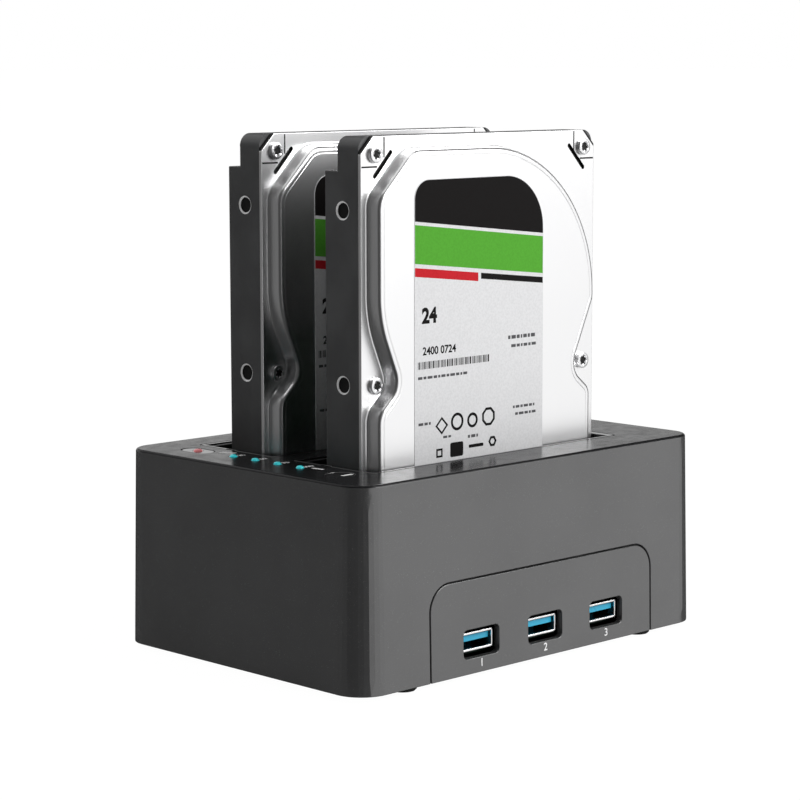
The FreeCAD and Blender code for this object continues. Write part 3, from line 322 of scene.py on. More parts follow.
def sheet(name, colour, roughness, metallic=1.0):
    """Smooth bright sheet with a barely uneven sheen."""
    f = Finish(name)
    cloud = f.noise(14.0, 2.0)
    paint = f.mix(cloud.fade(0.3, 0.7), scaled(colour, 0.985), colour)
    sheen = cloud.fade(0.25, 0.75, roughness * 0.92, roughness * 1.08)
    return f.skin(Base_Color=paint, Metallic=metallic, Roughness=sheen)


def board_lacquer(name):
    """Green solder lacquer over fine tracks, with a scatter of bright pads."""
    f = Finish(name)
    x, y, z = f.axes()
    across = ((x + z * 0.37) * 4.2).wave().above(0.2)
    along = ((y - z * 0.41 + x * 0.02) * 3.1).wave().above(-0.3)
    tracks = across * along
    cell = f.node("ShaderNodeTexVoronoi", {"feature": "F1"}, {"Vector": f.place(), "Scale": 320.0})
    pad = cell.below(0.16)
    lacquer = f.mix(tracks, (0.006, 0.022, 0.014), (0.010, 0.038, 0.024))
    paint = f.mix(pad * 0.8, lacquer, (0.34, 0.33, 0.30))
    return f.skin(
        Base_Color=paint, Metallic=pad * 0.7, Roughness=0.34, Normal=f.bump(tracks + pad, 0.4, 0.00003)
    )


def casting_coat(name, colour):
    """Dark coat on cast metal: a soft change of tone, with very fine paler specks."""
    f = Finish(name)
    fine = f.noise(3800.0, 3.0, 0.7)
    cloud = f.noise(60.0, 4.0)
    paint = f.mix(cloud.fade(0.3, 0.7), scaled(colour, 0.86), scaled(colour, 1.16))
    paint = f.mix(fine.fade(0.62, 0.80) * 0.25, paint, (0.22, 0.22, 0.23))
    return f.skin(
        Base_Color=paint, Metallic=0.25, Roughness=fine.fade(0.2, 0.8, 0.36, 0.50),
        Normal=f.bump(fine, 0.6, 0.00003),
    )


def lens(name, colour, glow):
    """Tinted lens with a clear coat and an even glow."""
    f = Finish(name)
    soft = f.noise(900.0, 2.0)
    paint = f.mix(soft.fade(0.3, 0.7), scaled(colour, 0.9), scaled(colour, 1.1))
    return f.skin(
        Base_Color=paint, Roughness=0.16, Coat_Weight=0.6, Emission_Color=paint, Emission_Strength=glow
    )


def ink(name, colour, roughness=0.45, ior=1.4):
    """Printed ink with slightly uneven cover."""
    f = Finish(name)
    cover = f.noise(1500.0, 3.0)
    paint = f.mix(cover.fade(0.25, 0.7), scaled(colour, 0.90), colour)
    return f.skin(Base_Color=paint, Roughness=cover.fade(0.2, 0.8, roughness, roughness + 0.1), IOR=ior)


def make_finishes(dock, drive):
    """Every finish of the object, by the name that the pieces use."""
    return {
        "shell": moulded("shell_plastic", dock.shell, 0.20, 0.000004, 1.9),
        "deck": moulded("deck_plastic", dock.deck, 0.20, 0.000002, 1.22),
        "frame": moulded("frame_plastic", dock.deck, 0.09, 0.000002),
        "key": moulded("key_plastic", dock.deck, 0.08, 0.000002),
        "cover_satin": textured("cover_plastic", (0.030, 0.030, 0.031), 0.55),
        "flap": textured("flap_plastic", (0.018, 0.018, 0.019), 0.42),
        "rubber": textured("foot_rubber", (0.020, 0.020, 0.020), 0.78, 1800.0, 0.00006),
        "black": textured("moulded_black", (0.012, 0.012, 0.012), 0.46),
        # Near-black painted shade, put into recesses, bores, slots and gaps where only shade falls.
        "painted_shade": textured("recess_painted_shade", (0.004, 0.004, 0.004), 0.75),
        "plated": metal("plated_sheet", (0.74, 0.74, 0.75), 0.24, (90.0, 500.0, 90.0)),
        "steel": metal("screw_steel", (0.55, 0.55, 0.56), 0.34),
        "screw": sheet("bright_screw", (0.86, 0.86, 0.87), 0.30),
        "tin": metal("can_metal", (0.72, 0.72, 0.73), 0.28, (80.0, 80.0, 900.0)),
        "gold": metal("contact_gold", (0.86, 0.62, 0.25), 0.26, (500.0, 60.0, 60.0)),
        "cover": sheet("stamped_cover", drive.cover, 0.31),
        "port_plate_painted_shade": port_plate_painted_shade("port_plate_painted_shade", -(BODY_D / 2 - 1.0)),
        "edge": metal("bright_edge", (0.96, 0.96, 0.96), 0.22),
        # Near-white and mostly matt: the rims are light bare metal, and this colour also paints in their
        # bright reflection.
        "rim": sheet("machined_rim", (0.97, 0.97, 0.97), 0.40, 0.1),
        "casting": casting_coat("casting_coat", drive.casting),
        "board": board_lacquer("board_lacquer"),
        "tongue": moulded("tongue_plastic", dock.tongue, 0.30, 0.00001),
        "teal": lens("progress_lens", dock.lamp, 0.5),
        "red": lens("power_lens", (0.62, 0.20, 0.21), 0.45),
        "lamp": lens("lamp_chip", (0.85, 0.85, 0.80), 0.0),
        "white_ink": ink("white_ink", (0.96, 0.96, 0.96)),
        "label": ink("label_film", (0.75, 0.75, 0.76), 0.40),
        "label_green": ink("label_green", (0.098, 0.392, 0.040), 0.40, 1.12),
        "label_black": ink("label_black", (0.011, 0.010, 0.010), 0.38, 1.12),
        "label_red": ink("label_red", (0.58, 0.021, 0.03), 0.40, 1.12),
        "label_grey": ink("label_grey", (0.10, 0.10, 0.105), 0.45, 1.12),
    }


# Filled by main before the pieces are built
FINISH = {}


# ---------------------------------------------------------------- mesh code


def corner_steps(corners, fine=0.5):
    """How many chords each rounded corner gets, so that offset copies keep the same count."""
    coarse = 0.42 * fine
    least, most = 2, 40
    steps = []
    for i, (u, v, radius) in enumerate(corners):
        before = Vector(corners[i - 1][:2]) - Vector((u, v))
        after = Vector(corners[(i + 1) % len(corners)][:2]) - Vector((u, v))
        sweep = math.pi - before.angle(after)
        chords = math.ceil(sweep * math.sqrt(max(radius, 0.1)) / coarse)
        steps.append(max(least, min(most, chords)))
    return steps


def rounded(corners, steps):
    """Points round a closed outline of (u, v, radius) corners."""
    points = []
    for i, (u, v, radius) in enumerate(corners):
        here = Vector((u, v))
        back = (Vector(corners[i - 1][:2]) - here).normalized()
        ahead = (Vector(corners[(i + 1) % len(corners)][:2]) - here).normalized()
        half = back.angle(ahead) / 2
        radius = max(radius, 0.001)
        centre = here + (back + ahead).normalized() * (radius / math.sin(half))
        start = here + back * (radius / math.tan(half)) - centre
        turn = math.pi - 2 * half
        sign = 1 if back.cross(ahead) < 0 else -1
        for k in range(steps[i] + 1):
            points.append(centre + Matrix.Rotation(sign * turn * k / steps[i], 2) @ start)
    return points


def grown(corners, by):
    """The corners of an outline that stands out by a distance; the corners run round clockwise."""
    moved = []
    for i, (u, v, radius) in enumerate(corners):
        here = Vector((u, v))
        came = (here - Vector(corners[i - 1][:2])).normalized()
        goes = (Vector(corners[(i + 1) % len(corners)][:2]) - here).normalized()
        first, second = Vector((came.y, -came.x)), Vector((goes.y, -goes.x))
        shift = (first + second) * (by / (1 + first.dot(second)))
        turn = math.copysign(1, came.cross(goes))
        moved.append((u + shift.x, v + shift.y, radius + by * turn))
    return moved


def rectangle(u, v, radius):
    """Four corners from two ranges."""
    return [(u[0], v[0], radius), (u[1], v[0], radius), (u[1], v[1], radius), (u[0], v[1], radius)]


def circle(u, v, radius, count, start=0.0):
    """Points round a circle, or the corners of a regular outline."""
    turns = [start + 2 * math.pi * k / count for k in range(count)]
    return [Vector((u + radius * math.cos(a), v + radius * math.sin(a))) for a in turns]


def on_drive(shift, height=0.0):
    """Places (right, down) points of a drive's front, standing a height in front of the flange."""
    front = FLANGE_Y + shift - height
    return lambda p, rise=0.0: Vector((DRIVE_LEFT + p[0], front - rise, DRIVE_TOP - p[1]))


def level(z):
    """Places (right, back) points on a level surface."""
    return lambda p, rise=0.0: Vector((p[0], p[1], z + rise))


def facing_front(y):
    """Places (right, up) points on an upright surface that faces the front."""
    return lambda p, rise=0.0: Vector((p[0], y - rise, p[1]))


class Mould:
    """Collects closed rings and faces in millimetres, and turns them into one object."""

    def __init__(self):
        self.mesh = bmesh.new()

    def ring(self, points):
        return [self.mesh.verts.new(p) for p in points]

    def join(self, first, second, slot=0):
        """Four-sided faces between two rings of the same count."""
        count = len(first)
        for i in range(count):
            j = (i + 1) % count
            face = self.mesh.faces.new((first[i], first[j], second[j], second[i]))
            face.material_index = slot

    def stack(self, rings, slot=0):
        """Rings joined one to the next, open at both ends."""
        made = [self.ring(points) for points in rings]
        for first, second in zip(made, made[1:]):
            self.join(first, second, slot)
        return made

    def fill(self, outer, holes=(), slot=0):
        """A flat face inside one ring and outside any others."""
        edges = []
        for loop in (outer, *holes):
            for i, vert in enumerate(loop):
                after = loop[(i + 1) % len(loop)]
                edges.append(self.mesh.edges.get((vert, after)) or self.mesh.edges.new((vert, after)))
        made = bmesh.ops.triangle_fill(self.mesh, use_beauty=True, use_dissolve=False, edges=edges)
        for face in made["geom"]:
            if isinstance(face, bmesh.types.BMFace):
                face.material_index = slot

    def plate(self, corners, place, low, high, edge, slot=0):
        """A closed plate between two rises, with a softly rounded upper edge."""
        steps = corner_steps(corners)
        cut = edge * 0.29
        profile = ((0.0, low), (0.0, high - edge), (-cut, high - cut), (-edge, high))
        rings = [
            [place(p, rise) for p in rounded(grown(corners, out), steps)] for out, rise in profile
        ]
        self.cap(self.stack(rings, slot), slot)

    def bar(self, start, end, radius, count, slot=0):
        """A closed round bar between two points."""
        start, end = Vector(start), Vector(end)
        way = (end - start).normalized()
        side = way.orthogonal().normalized()
        over = way.cross(side)
        turns = [2 * math.pi * k / count for k in range(count)]
        rings = [
            [at + side * (radius * math.cos(a)) + over * (radius * math.sin(a)) for a in turns]
            for at in (start, end)
        ]
        self.cap(self.stack(rings, slot), slot)

    def cap(self, made, slot=0):
        """Closes the first and the last ring of a stack."""
        self.fill(made[0], slot=slot)
        self.fill(made[-1], slot=slot)

    def finish(self, name, finishes, angle=32.0, flat=None):
        """Turns the faces into a shaded object in its place, in metres."""
        bmesh.ops.remove_doubles(self.mesh, verts=self.mesh.verts, dist=0.0005)
        bmesh.ops.recalc_face_normals(self.mesh, faces=self.mesh.faces)
        self.mesh.transform(Matrix.Scale(MM, 4))
        data = bpy.data.meshes.new(name)
        self.mesh.to_mesh(data)
        self.mesh.free()
        return as_piece(name, data, finishes, angle, flat)


def as_piece(name, data, finishes, angle=32.0, flat=None):
    """An object with its finishes, shaded smooth between sharp edges."""
    piece = bpy.data.objects.new(name, data)
    bpy.context.scene.collection.objects.link(piece)
    if data.materials:
        data.materials.clear()
    for finish in finishes:
        data.materials.append(FINISH[finish])
    data.shade_smooth()
    data.set_sharp_from_angle(angle=math.radians(angle))
    keep_flats(data, flat)
    steady = piece.modifiers.new("even shading", "WEIGHTED_NORMAL")
    steady.keep_sharp = True
    steady.weight = 80
    return piece


def keep_flats(data, flat=None):
    """Marks sharp the edges where a broad face turns, and those where faces that look along flat end."""
    broad = 0.00002
    least_turn = 0.02
    shape = bmesh.new()
    shape.from_mesh(data)
    for edge in shape.edges:
        if len(edge.link_faces) != 2:
            continue
        first, second = edge.link_faces
        if max(first.calc_area(), second.calc_area()) > broad:
            if first.normal.angle(second.normal, 0.0) > least_turn:
                edge.smooth = False
        elif flat:
            if (first.normal.dot(flat) > 0.99999) != (second.normal.dot(flat) > 0.99999):
                edge.smooth = False
    shape.to_mesh(data)
    shape.free()


def from_solid(node, name, finish, edge, seam=None, side=None, fine=0.0):
    """A welded copy of a CAD node with softened edges.

    Edges at the seam's height and edges shorter than fine stay hard. The upright faces above the
    seam get the side finish, where there is one. The seam is in millimetres, the rest in metres.
    """
    nearly_flat, turned = math.radians(0.4), math.radians(38.0)
    welded = bmesh.new()
    welded.from_mesh(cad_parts[node].data)
    bmesh.ops.remove_doubles(welded, verts=welded.verts, dist=0.000002)
    bmesh.ops.dissolve_limit(welded, angle_limit=nearly_flat, verts=welded.verts, edges=welded.edges)
    if fine:
        wide = [face for face in welded.faces if len(face.verts) > 4]
        bmesh.ops.triangulate(welded, faces=wide, quad_method="BEAUTY", ngon_method="BEAUTY")
    weight = welded.edges.layers.float.new("bevel_weight_edge")
    for line in welded.edges:
        faces = line.link_faces
        short = line.calc_length() < fine
        closed = seam and all(abs(vert.co.z - seam * MM) < 0.00001 for vert in line.verts)
        if len(faces) == 2 and not short and not closed:
            if faces[0].normal.angle(faces[1].normal, 0.0) > turned:
                line[weight] = 1.0
    if side:
        for face in welded.faces:
            if abs(face.normal.z) < 0.3 and face.calc_center_median().z > (seam - 0.1) * MM:
                face.material_index = 1
    data = bpy.data.meshes.new(name)
    welded.to_mesh(data)
    welded.free()
    piece = as_piece(name, data, [finish] + ([side] if side else []), 28.0)
    if edge:
        soft = piece.modifiers.new("soft edges", "BEVEL")
        soft.width = edge
        soft.segments = 2
        soft.limit_method = "WEIGHT"
        soft.use_clamp_overlap = False
        soft.harden_normals = False
        piece.modifiers.move(1, 0)
    return piece


def hand_over(piece, body, *nodes, slot=None):
    """Gives a finished piece to its body and takes the CAD nodes that it stands for out of view."""
    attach(piece, body)
    if nodes:
        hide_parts(*nodes)


def paint_nodes(before="", **finishes):
    """Gives CAD nodes that stay in view their finishes; before is what their names begin with."""
    for node, finish in finishes.items():
        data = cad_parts[before + node].data
        data.materials.clear()
        data.materials.append(FINISH[finish])


# ---------------------------------------------------------------- repeats


REPEAT_NAME = "set on points"


def repeat_tree(name):
    """Geometry nodes that set a piece on every point, each with its own turn about an axis."""
    tree = bpy.data.node_groups.new(name, "GeometryNodeTree")
    for socket, kind in (
        ("Points", "Geometry"), ("Piece", "Object"), ("Axis", "Vector"), ("Least turn", "Float"),
        ("Most turn", "Float"), ("Seed", "Int"), ("Finish", "Material"),
    ):
        tree.interface.new_socket(socket, in_out="INPUT", socket_type="NodeSocket" + kind)
    tree.interface.new_socket("Repeats", in_out="OUTPUT", socket_type="NodeSocketGeometry")
    start, end, piece, turn, spin, copies, real, coat = [tree.nodes.new(kind) for kind in (
        "NodeGroupInput", "NodeGroupOutput", "GeometryNodeObjectInfo", "FunctionNodeRandomValue",
        "FunctionNodeAxisAngleToRotation", "GeometryNodeInstanceOnPoints", "GeometryNodeRealizeInstances",
        "GeometryNodeSetMaterial",
    )]
    turn.data_type = "FLOAT"
    for source, output, target, socket in (
        (start, "Piece", piece, "Object"),
        (start, "Least turn", turn, 2),
        (start, "Most turn", turn, 3),
        (start, "Seed", turn, "Seed"),
        (start, "Axis", spin, "Axis"),
        (turn, 1, spin, "Angle"),
        (start, "Points", copies, "Points"),
        (piece, "Geometry", copies, "Instance"),
        (spin, 0, copies, "Rotation"),
        (copies, 0, real, 0),
        (real, 0, coat, "Geometry"),
        (start, "Finish", coat, "Material"),
        (coat, 0, end, 0),
    ):
        tree.links.new(source.outputs[output], target.inputs[socket])
    return tree


def repeated(name, points, pattern, finish, turns, seed):
    """One plain mesh that holds the pattern piece at every point, each turned about the front axis."""
    tree = bpy.data.node_groups.get(REPEAT_NAME) or repeat_tree(REPEAT_NAME)
    data = bpy.data.meshes.new(name + "_points")
    data.from_pydata([Vector(p) * MM for p in points], [], [])
    carrier = bpy.data.objects.new(name + "_points", data)
    bpy.context.scene.collection.objects.link(carrier)
    modifier = carrier.modifiers.new(REPEAT_NAME, "NODES")
    modifier.node_group = tree
    values = {
        "Piece": pattern, "Axis": (0, 1, 0), "Least turn": turns[0], "Most turn": turns[1],
        "Seed": seed, "Finish": FINISH[finish],
    }
    for item in tree.interface.items_tree:
        if item.in_out == "INPUT" and item.name in values:
            modifier[item.identifier] = values[item.name]
    graph = bpy.context.evaluated_depsgraph_get()
    made = bpy.data.meshes.new_from_object(carrier.evaluated_get(graph), depsgraph=graph)
    carrier.modifiers.remove(modifier)
    bpy.data.objects.remove(carrier)
    return as_piece(name, made, [finish])


# ---------------------------------------------------------------- drives


def drawn_side(foot, shoulder, lean, start, chords=9):
    """The drawn side's profile as (rise, out): a foot curve, a leaning straight and a shoulder curve."""
    side = []
    turns = [(math.pi / 2 - lean) * k / chords for k in range(chords + 1)]
    for a in turns:
        side.append((foot * (1 - math.cos(a)), start - foot * math.sin(a)))
    top = PLATEAU_H - shoulder * (1 - math.sin(lean))
    out = side[-1][1] - (top - side[-1][0]) * math.tan(lean)
    for a in reversed(turns):
        rise = top + shoulder * (math.cos(a) - math.sin(lean))
        side.append((rise, out - shoulder * (math.cos(lean) - math.sin(a))))
    return side


def lid_piece(name, shift, shoulder):
    """The stamped cover: its flange, its raised area with a drawn side and a crease, and two slots."""
    mould = Mould()
    place = on_drive(shift)
    steps = corner_steps(PLATEAU, 0.3)
    foot, lean, spread = 0.8, math.radians(8.0), 1.7
    side = drawn_side(foot, shoulder, lean, spread)
    edge = side[-1][1]
    crease = ((0.0, 0.5), (0.07, 0.72), (0.0, 0.94), (0.0, 1.3))
    side += [(PLATEAU_H - deep, edge - inside) for deep, inside in crease]
    rings = [[place(p, rise) for p in rounded(grown(PLATEAU, out), steps)] for rise, out in side]
    plateau = mould.stack(rings)
    mould.fill(plateau[-1])
    cut = 5.2
    right, foot_line = DRIVE_W - cut, DRIVE_L - cut
    outer = [
        (cut, 0, 0.6), (right, 0, 0.6), (DRIVE_W, cut, 0.6), (DRIVE_W, foot_line, 0.6),
        (right, DRIVE_L, 0.6), (cut, DRIVE_L, 0.6), (0, foot_line, 0.6), (0, cut, 0.6),
    ]
    outer_steps = corner_steps(outer)
    profile = ((0.0, -SHEET), (0.0, -0.16), (-0.05, -0.05), (-0.16, 0.0))
    rim = mould.stack(
        [[place(p, rise) for p in rounded(grown(outer, out), outer_steps)] for out, rise in profile]
    )
    mould.fill(rim[0])
    pockets = []
    # The slots' walls and floors take the near-black painted shade (slot 1).
    for a, b in (((12.1, 4.8), (5.6, 11.6)), ((90.0, 4.8), (96.5, 11.6))):
        loop = capsule(a, b, 0.7)
        walls = mould.stack([[place(p, rise) for p in loop] for rise in (0.0, -0.9)], 1)
        mould.fill(walls[-1], slot=1)
        pockets.append(walls[0])
    mould.fill(rim[-1], [plateau[0]] + pockets)
    return mould.finish(name, ["cover", "painted_shade"], 24.0, flat=Vector((0, -1, 0)))


def capsule(a, b, radius, count=10):
    """Points round a slot with round ends."""
    a, b = Vector(a), Vector(b)
    angle = math.atan2(b.y - a.y, b.x - a.x)
    points = []
    for centre, start in ((b, angle - math.pi / 2), (a, angle + math.pi / 2)):
        for k in range(count + 1):
            turn = start + math.pi * k / count
            points.append(centre + Vector((math.cos(turn), math.sin(turn))) * radius)
    return points


def corner_shade_piece(name, shift):
    """Near-black strips of painted shade: over the fine gaps along the cover's corner tabs, and as the
    dark step at its cut corners.
    """
    mould = Mould()
    place = on_drive(shift)
    # Both kinds of strip are painted shade, where the gaps and the step under the cut corner fall into
    # shade.
    gap, step = (-0.05, 0.02), (-0.95, -0.1)
    for mirror in (False, True):
        for (low, high), corners in (
            (gap, [(9.2, 0.3, 0.02), (9.7, 0.3, 0.02), (9.7, 6.2, 0.02), (9.2, 6.2, 0.02)]),
            (gap, [(0.3, 8.6, 0.02), (6.6, 8.6, 0.02), (6.6, 9.1, 0.02), (0.3, 9.1, 0.02)]),
            (step, [(0.0, 4.45, 0.02), (4.45, 0.0, 0.02), (5.15, 0.0, 0.02), (0.0, 5.15, 0.02)]),
        ):
            if mirror:
                corners = [(DRIVE_W - u, v, radius) for u, v, radius in reversed(corners)]
            mould.plate(corners, place, low, high, 0.005)
    return mould.finish(name, ["painted_shade"], 40.0)


SCREW_INSET = 5.5
SCREW_ROWS = (5.2, 72.7, 141.0)
HEAD_H = 1.3
STAR_R = 1.55
STAR_DEPTH = 0.9


def star(radius, inner, lobes=6, count=48):
    """Points of a round-lobed star recess."""
    points = []
    for k in range(count):
        turn = 2 * math.pi * k / count
        r = (radius + inner) / 2 + (radius - inner) / 2 * math.cos(lobes * turn)
        points.append(Vector((r * math.cos(turn), r * math.sin(turn))))
    return points


def screw_head():
    """A low cylinder head with a star recess, standing out towards the front from the origin."""
    mould = Mould()
    place = facing_front(0.0)
    radius, rim, cut = 2.5, 0.3, 0.09
    profile = (
        (radius, 0.0), (radius, HEAD_H - rim), (radius - cut, HEAD_H - cut), (radius - rim, HEAD_H)
    )
    rings = [[place(p, rise) for p in circle(0, 0, r, 48)] for r, rise in profile]
    made = mould.stack(rings)
    mould.fill(made[0])
    walls = mould.stack([
        [place(p, rise) for p in star(STAR_R * share, STAR_R * 0.68 * share)]
        for rise, share in ((HEAD_H, 1.06), (HEAD_H - 0.1, 1.0), (HEAD_H - STAR_DEPTH, 0.94))
    ])
    mould.fill(made[-1], [walls[0]])
    mould.fill(walls[-1])
    return mould.finish("screw_head_pattern", ["screw"])


def recess_shade_plug():
    """A near-black plug that fills the lower part of the star recess: painted shade."""
    mould = Mould()
    place = facing_front(0.0)
    shape = star(STAR_R * 0.93, STAR_R * 0.63)
    rings = [[place(p, rise) for p in shape] for rise in (HEAD_H - STAR_DEPTH, HEAD_H - 0.4)]
    mould.cap(mould.stack(rings))
    return mould.finish("recess_floor_pattern", ["painted_shade"])


# The label's film as corners (right, down, radius) of the drive's front
LABEL = [(17.0, 12.8, 6.0), (72.9, 12.8, 16.5), (72.9, 132.0, 2.0), (17.0, 132.0, 2.0)]
FILM = 0.10
INK = 0.012
SUNK = 0.004


def patch(mould, corners, place, rise, slot):
    """A thin printed patch that lies on the label."""
    edge = 0.004
    mould.plate(corners, place, rise - SUNK, rise + INK, edge, slot)


def outline_mark(mould, place, u, v, radius, sides, rise, slot, width, turn):
    """A thin printed ring or many-sided outline."""
    rings = []
    inside = radius - width
    for r, up in ((radius, -SUNK), (radius, INK), (inside, INK), (inside, -SUNK)):
        rings.append([place(p, rise + up) for p in circle(u, v, r, sides, turn)])
    made = mould.stack(rings, slot)
    mould.join(made[-1], made[0], slot)


def dash_row(mould, place, row, rise, slot):
    """A row of short printed dashes in place of small lettering."""
    start, end, v, tall = row
    shortest, longer, gap, least = 0.7, 1.5, 0.45, 0.6
    k = 0
    while start < end - least:
        stop = min(start + shortest + longer * ((k * 61 + int(v * 10)) % 17) / 17, end)
        patch(mould, rectangle((start, stop), (v, v + tall), 0.05), place, rise, slot)
        start = stop + gap
        k += 1


def stripe_row(mould, place, start, end, v, tall, rise, slot):
    """A row of upright bars of mixed widths."""
    k = 0
    while start < end:
        wide = (0.22, 0.42, 0.28, 0.60)[(k * k + k // 3) % 4]
        patch(mould, rectangle((start, start + wide), (v, v + tall), 0.02), place, rise, slot)
        start += wide + (0.26, 0.44, 0.30)[(k * 5 + k // 4) % 3]
        k += 1


def label_piece(name, shift):
    """The label's film with its printed bands, bars, dashes and plain outlines."""
    mould = Mould()
    place = on_drive(shift, PLATEAU_H)
    green, black, red, grey = 1, 2, 3, 4
    mould.plate(LABEL, place, 0.0, FILM, 0.03)
    for slot, corners in (
        (black, ((17.2, 13.0, 5.8), (72.7, 13.0, 16.3), (72.7, 31.0, 0.05), (17.2, 25.0, 0.05))),
        (green, ((17.2, 26.0, 0.05), (72.7, 32.0, 0.05), (72.7, 43.4, 0.05), (17.2, 37.4, 0.05))),
        (red, ((17.2, 38.6, 0.05), (44.0, 41.5, 0.05), (44.0, 44.1, 0.05), (17.2, 41.2, 0.05))),
        (black, ((45.2, 41.63, 0.05), (72.7, 44.6, 0.05), (72.7, 46.4, 0.05), (45.2, 43.43, 0.05))),
    ):
        patch(mould, corners, place, FILM, slot)
    stripe_row(mould, place, 18.4, 48.6, 66.6, 2.2, FILM, black)
    for row in (
        (57.2, 70.3, 61.6, 1.1), (58.6, 70.3, 64.4, 0.9), (18.4, 40.0, 71.0, 0.8),
        (59.5, 70.0, 83.4, 0.8), (60.5, 70.0, 85.6, 0.8), (29.0, 33.0, 89.6, 0.7),
        (39.6, 44.0, 90.4, 0.9), (18.6, 24.0, 84.8, 0.8),
    ):
        dash_row(mould, place, row, FILM, grey)
    for u, v, radius, sides, turn in (
        (28.4, 86.4, 2.7, 4, 0.0), (35.0, 85.8, 2.7, 28, 0.0), (41.6, 86.0, 2.3, 28, 0.0),
        (48.6, 85.6, 3.0, 8, 0.39), (27.4, 94.6, 1.9, 4, 0.785), (50.4, 93.4, 1.8, 6, 0.0),
    ):
        outline_mark(mould, place, u, v, radius, sides, FILM, black, 0.85, turn)
    for slot, across, down, radius in (
        (black, (32.0, 37.6), (92.0, 96.4), 0.6),
        (black, (40.0, 46.4), (93.4, 94.4), 0.3),
        (grey, (30.2, 35.0), (102.0, 108.0), 0.6),
    ):
        patch(mould, rectangle(across, down, radius), place, FILM, slot)
    for v in (112.0, 115.0, 118.0, 121.0):
        dash_row(mould, place, (20.5, 66.0, v, 0.9), FILM, grey)
    return mould.finish(name, ["label", "label_green", "label_black", "label_red", "label_grey"], 30.0)


def words(name, text, size, place, finish, bold):
    """Plain figures as a thin mesh, set by a matrix in millimetres."""
    thick = 0.02
    curve = bpy.data.curves.new(name, "FONT")
    curve.body = text
    curve.size = size
    curve.align_x = "CENTER"
    curve.align_y = "CENTER"
    curve.extrude = thick / 2
    curve.offset = bold
    curve.resolution_u = 5
    source = bpy.data.objects.new(name + "_curve", curve)
    bpy.context.scene.collection.objects.link(source)
    graph = bpy.context.evaluated_depsgraph_get()
    data = bpy.data.meshes.new_from_object(source.evaluated_get(graph), depsgraph=graph)
    bpy.data.objects.remove(source)
    data.transform(Matrix.Scale(MM, 4) @ place)
    return as_piece(name, data, [finish], 30.0)


def facing_front_matrix(x, y, z, lean=0.0):
    """Stands flat text up so that it faces the front, leaning back with the wall."""
    return Matrix.Translation((x, y, z)) @ Matrix.Rotation(math.pi / 2 - lean, 4, "X")


class DUPLICATOR_OT_drives(Operator):
    """Builds both docked drives: casting, stamped cover, screws, label and board"""

    bl_idname = "duplicator.drives"
    bl_label = "Docked drives"

    def execute(self, context):
        drive = context.scene.duplicator_drive
        head, floor = screw_head(), recess_shade_plug()
        turns = (0.0, 1.05)
        proud = 0.01
        for bay, shift in BAYS:
            body = bay + "_drive"
            lid = lid_piece(bay + "_stamped_cover", shift, drive.shoulder / MM)
            hand_over(lid, body, bay + "_drive_lid", slot="drive_cover")
            hand_over(corner_shade_piece(bay + "_cover_corners", shift), body)
            base = from_solid(bay + "_drive_base", bay + "_casting", "casting", 0.00022, fine=0.0008)
            hand_over(base, body, bay + "_drive_base", slot="drive_casting")
            places = [
                (DRIVE_LEFT + u, FLANGE_Y + shift, DRIVE_TOP - v)
                for u in (SCREW_INSET, DRIVE_W - SCREW_INSET) for v in SCREW_ROWS
            ]
            seed = drive.turn_seed + int(shift)
            heads = repeated(bay + "_cover_screws", places, head, "screw", turns, seed)
            hand_over(heads, body, bay + "_drive_screws", slot="drive_screw")
            # Near-black plugs in the star recesses, as painted shade.
            recess_shades = repeated(bay + "_screw_recesses", places, floor, "painted_shade", turns, seed)
            hand_over(recess_shades, body)
            label = label_piece(bay + "_label", shift)
            hand_over(label, body, bay + "_drive_label", slot="label_film")
            front = FLANGE_Y + shift - PLATEAU_H - FILM - proud
            for part, text, size, u, v, bold in (
                ("number", "24", 6.2, 23.2, 53.2, 0.26), ("code", "2400 0724", 3.3, 27.4, 63.6, 0.08),
            ):
                place = facing_front_matrix(DRIVE_LEFT + u, front, DRIVE_TOP - v)
                hand_over(words(bay + "_label_" + part, text, size, place, "label_black", bold), body)
            hand_over(hole_rings(bay + "_side_hole_rims", shift), body)
            paint_nodes(bay + "_drive_", board="board", plug="black")
        bpy.data.objects.remove(head)
        bpy.data.objects.remove(floor)
        return {"FINISHED"}


def hole_rings(name, shift):
    """Bright machined rims of the side screw holes, whose near-white, mostly matt colour also paints in
    the bare metal's bright reflection, and near-black bars in their bores as painted shade.
    """
    mould = Mould()
    first_row, pitch, set_back = 21.6, 51.2, 7.7
    profile = ((2.80, -0.01), (2.80, 0.02), (2.40, 0.34), (2.30, 0.34), (2.34, 0.30), (2.72, -0.01))
    y = FLANGE_Y + set_back + shift
    for x, way in ((DRIVE_LEFT, 1), (DRIVE_LEFT + DRIVE_W, -1)):
        for row in range(3):
            z = DRIVE_TOP - first_row - pitch * row
            rings = []
            for r, deep in profile:
                rings.append([Vector((x + way * deep, y + p.x, z + p.y)) for p in circle(0, 0, r, 40)])
            made = mould.stack(rings)
            mould.join(made[-1], made[0])
            # A near-black bar in the bore: painted shade.
            mould.bar((x + way * 0.55, y, z), (x + way * 3.9, y, z), 2.38, 32, 1)
    return mould.finish(name, ["rim", "painted_shade"], 40.0)


# ---------------------------------------------------------------- dock


class DUPLICATOR_OT_body(Operator):
    """Builds the dock's walls, deck, port panel, bottom cover and feet"""

    bl_idname = "duplicator.body"
    bl_label = "Dock body"

    def execute(self, context):
        edge = context.scene.duplicator_dock.edge
        for node, piece, finish, width, slot, seam, side in (
            ("housing", "walls", "shell", edge, "dock_shell", SEAM_Z, None),
            ("top_deck", "deck", "deck", edge, "dock_deck", SEAM_Z, "shell"),
            ("front_panel", "port_panel", "shell", edge, "port_panel", None, None),
            ("bottom_cover", "base_cover", "cover_satin", edge, "cover_plastic", None, None),
            ("rubber_feet", "feet", "rubber", 0, "foot_rubber", None, None),
        ):
            made = from_solid(node, piece, finish, width, seam=seam, side=side)
            hand_over(made, "dock", node, slot=slot)
        return {"FINISHED"}


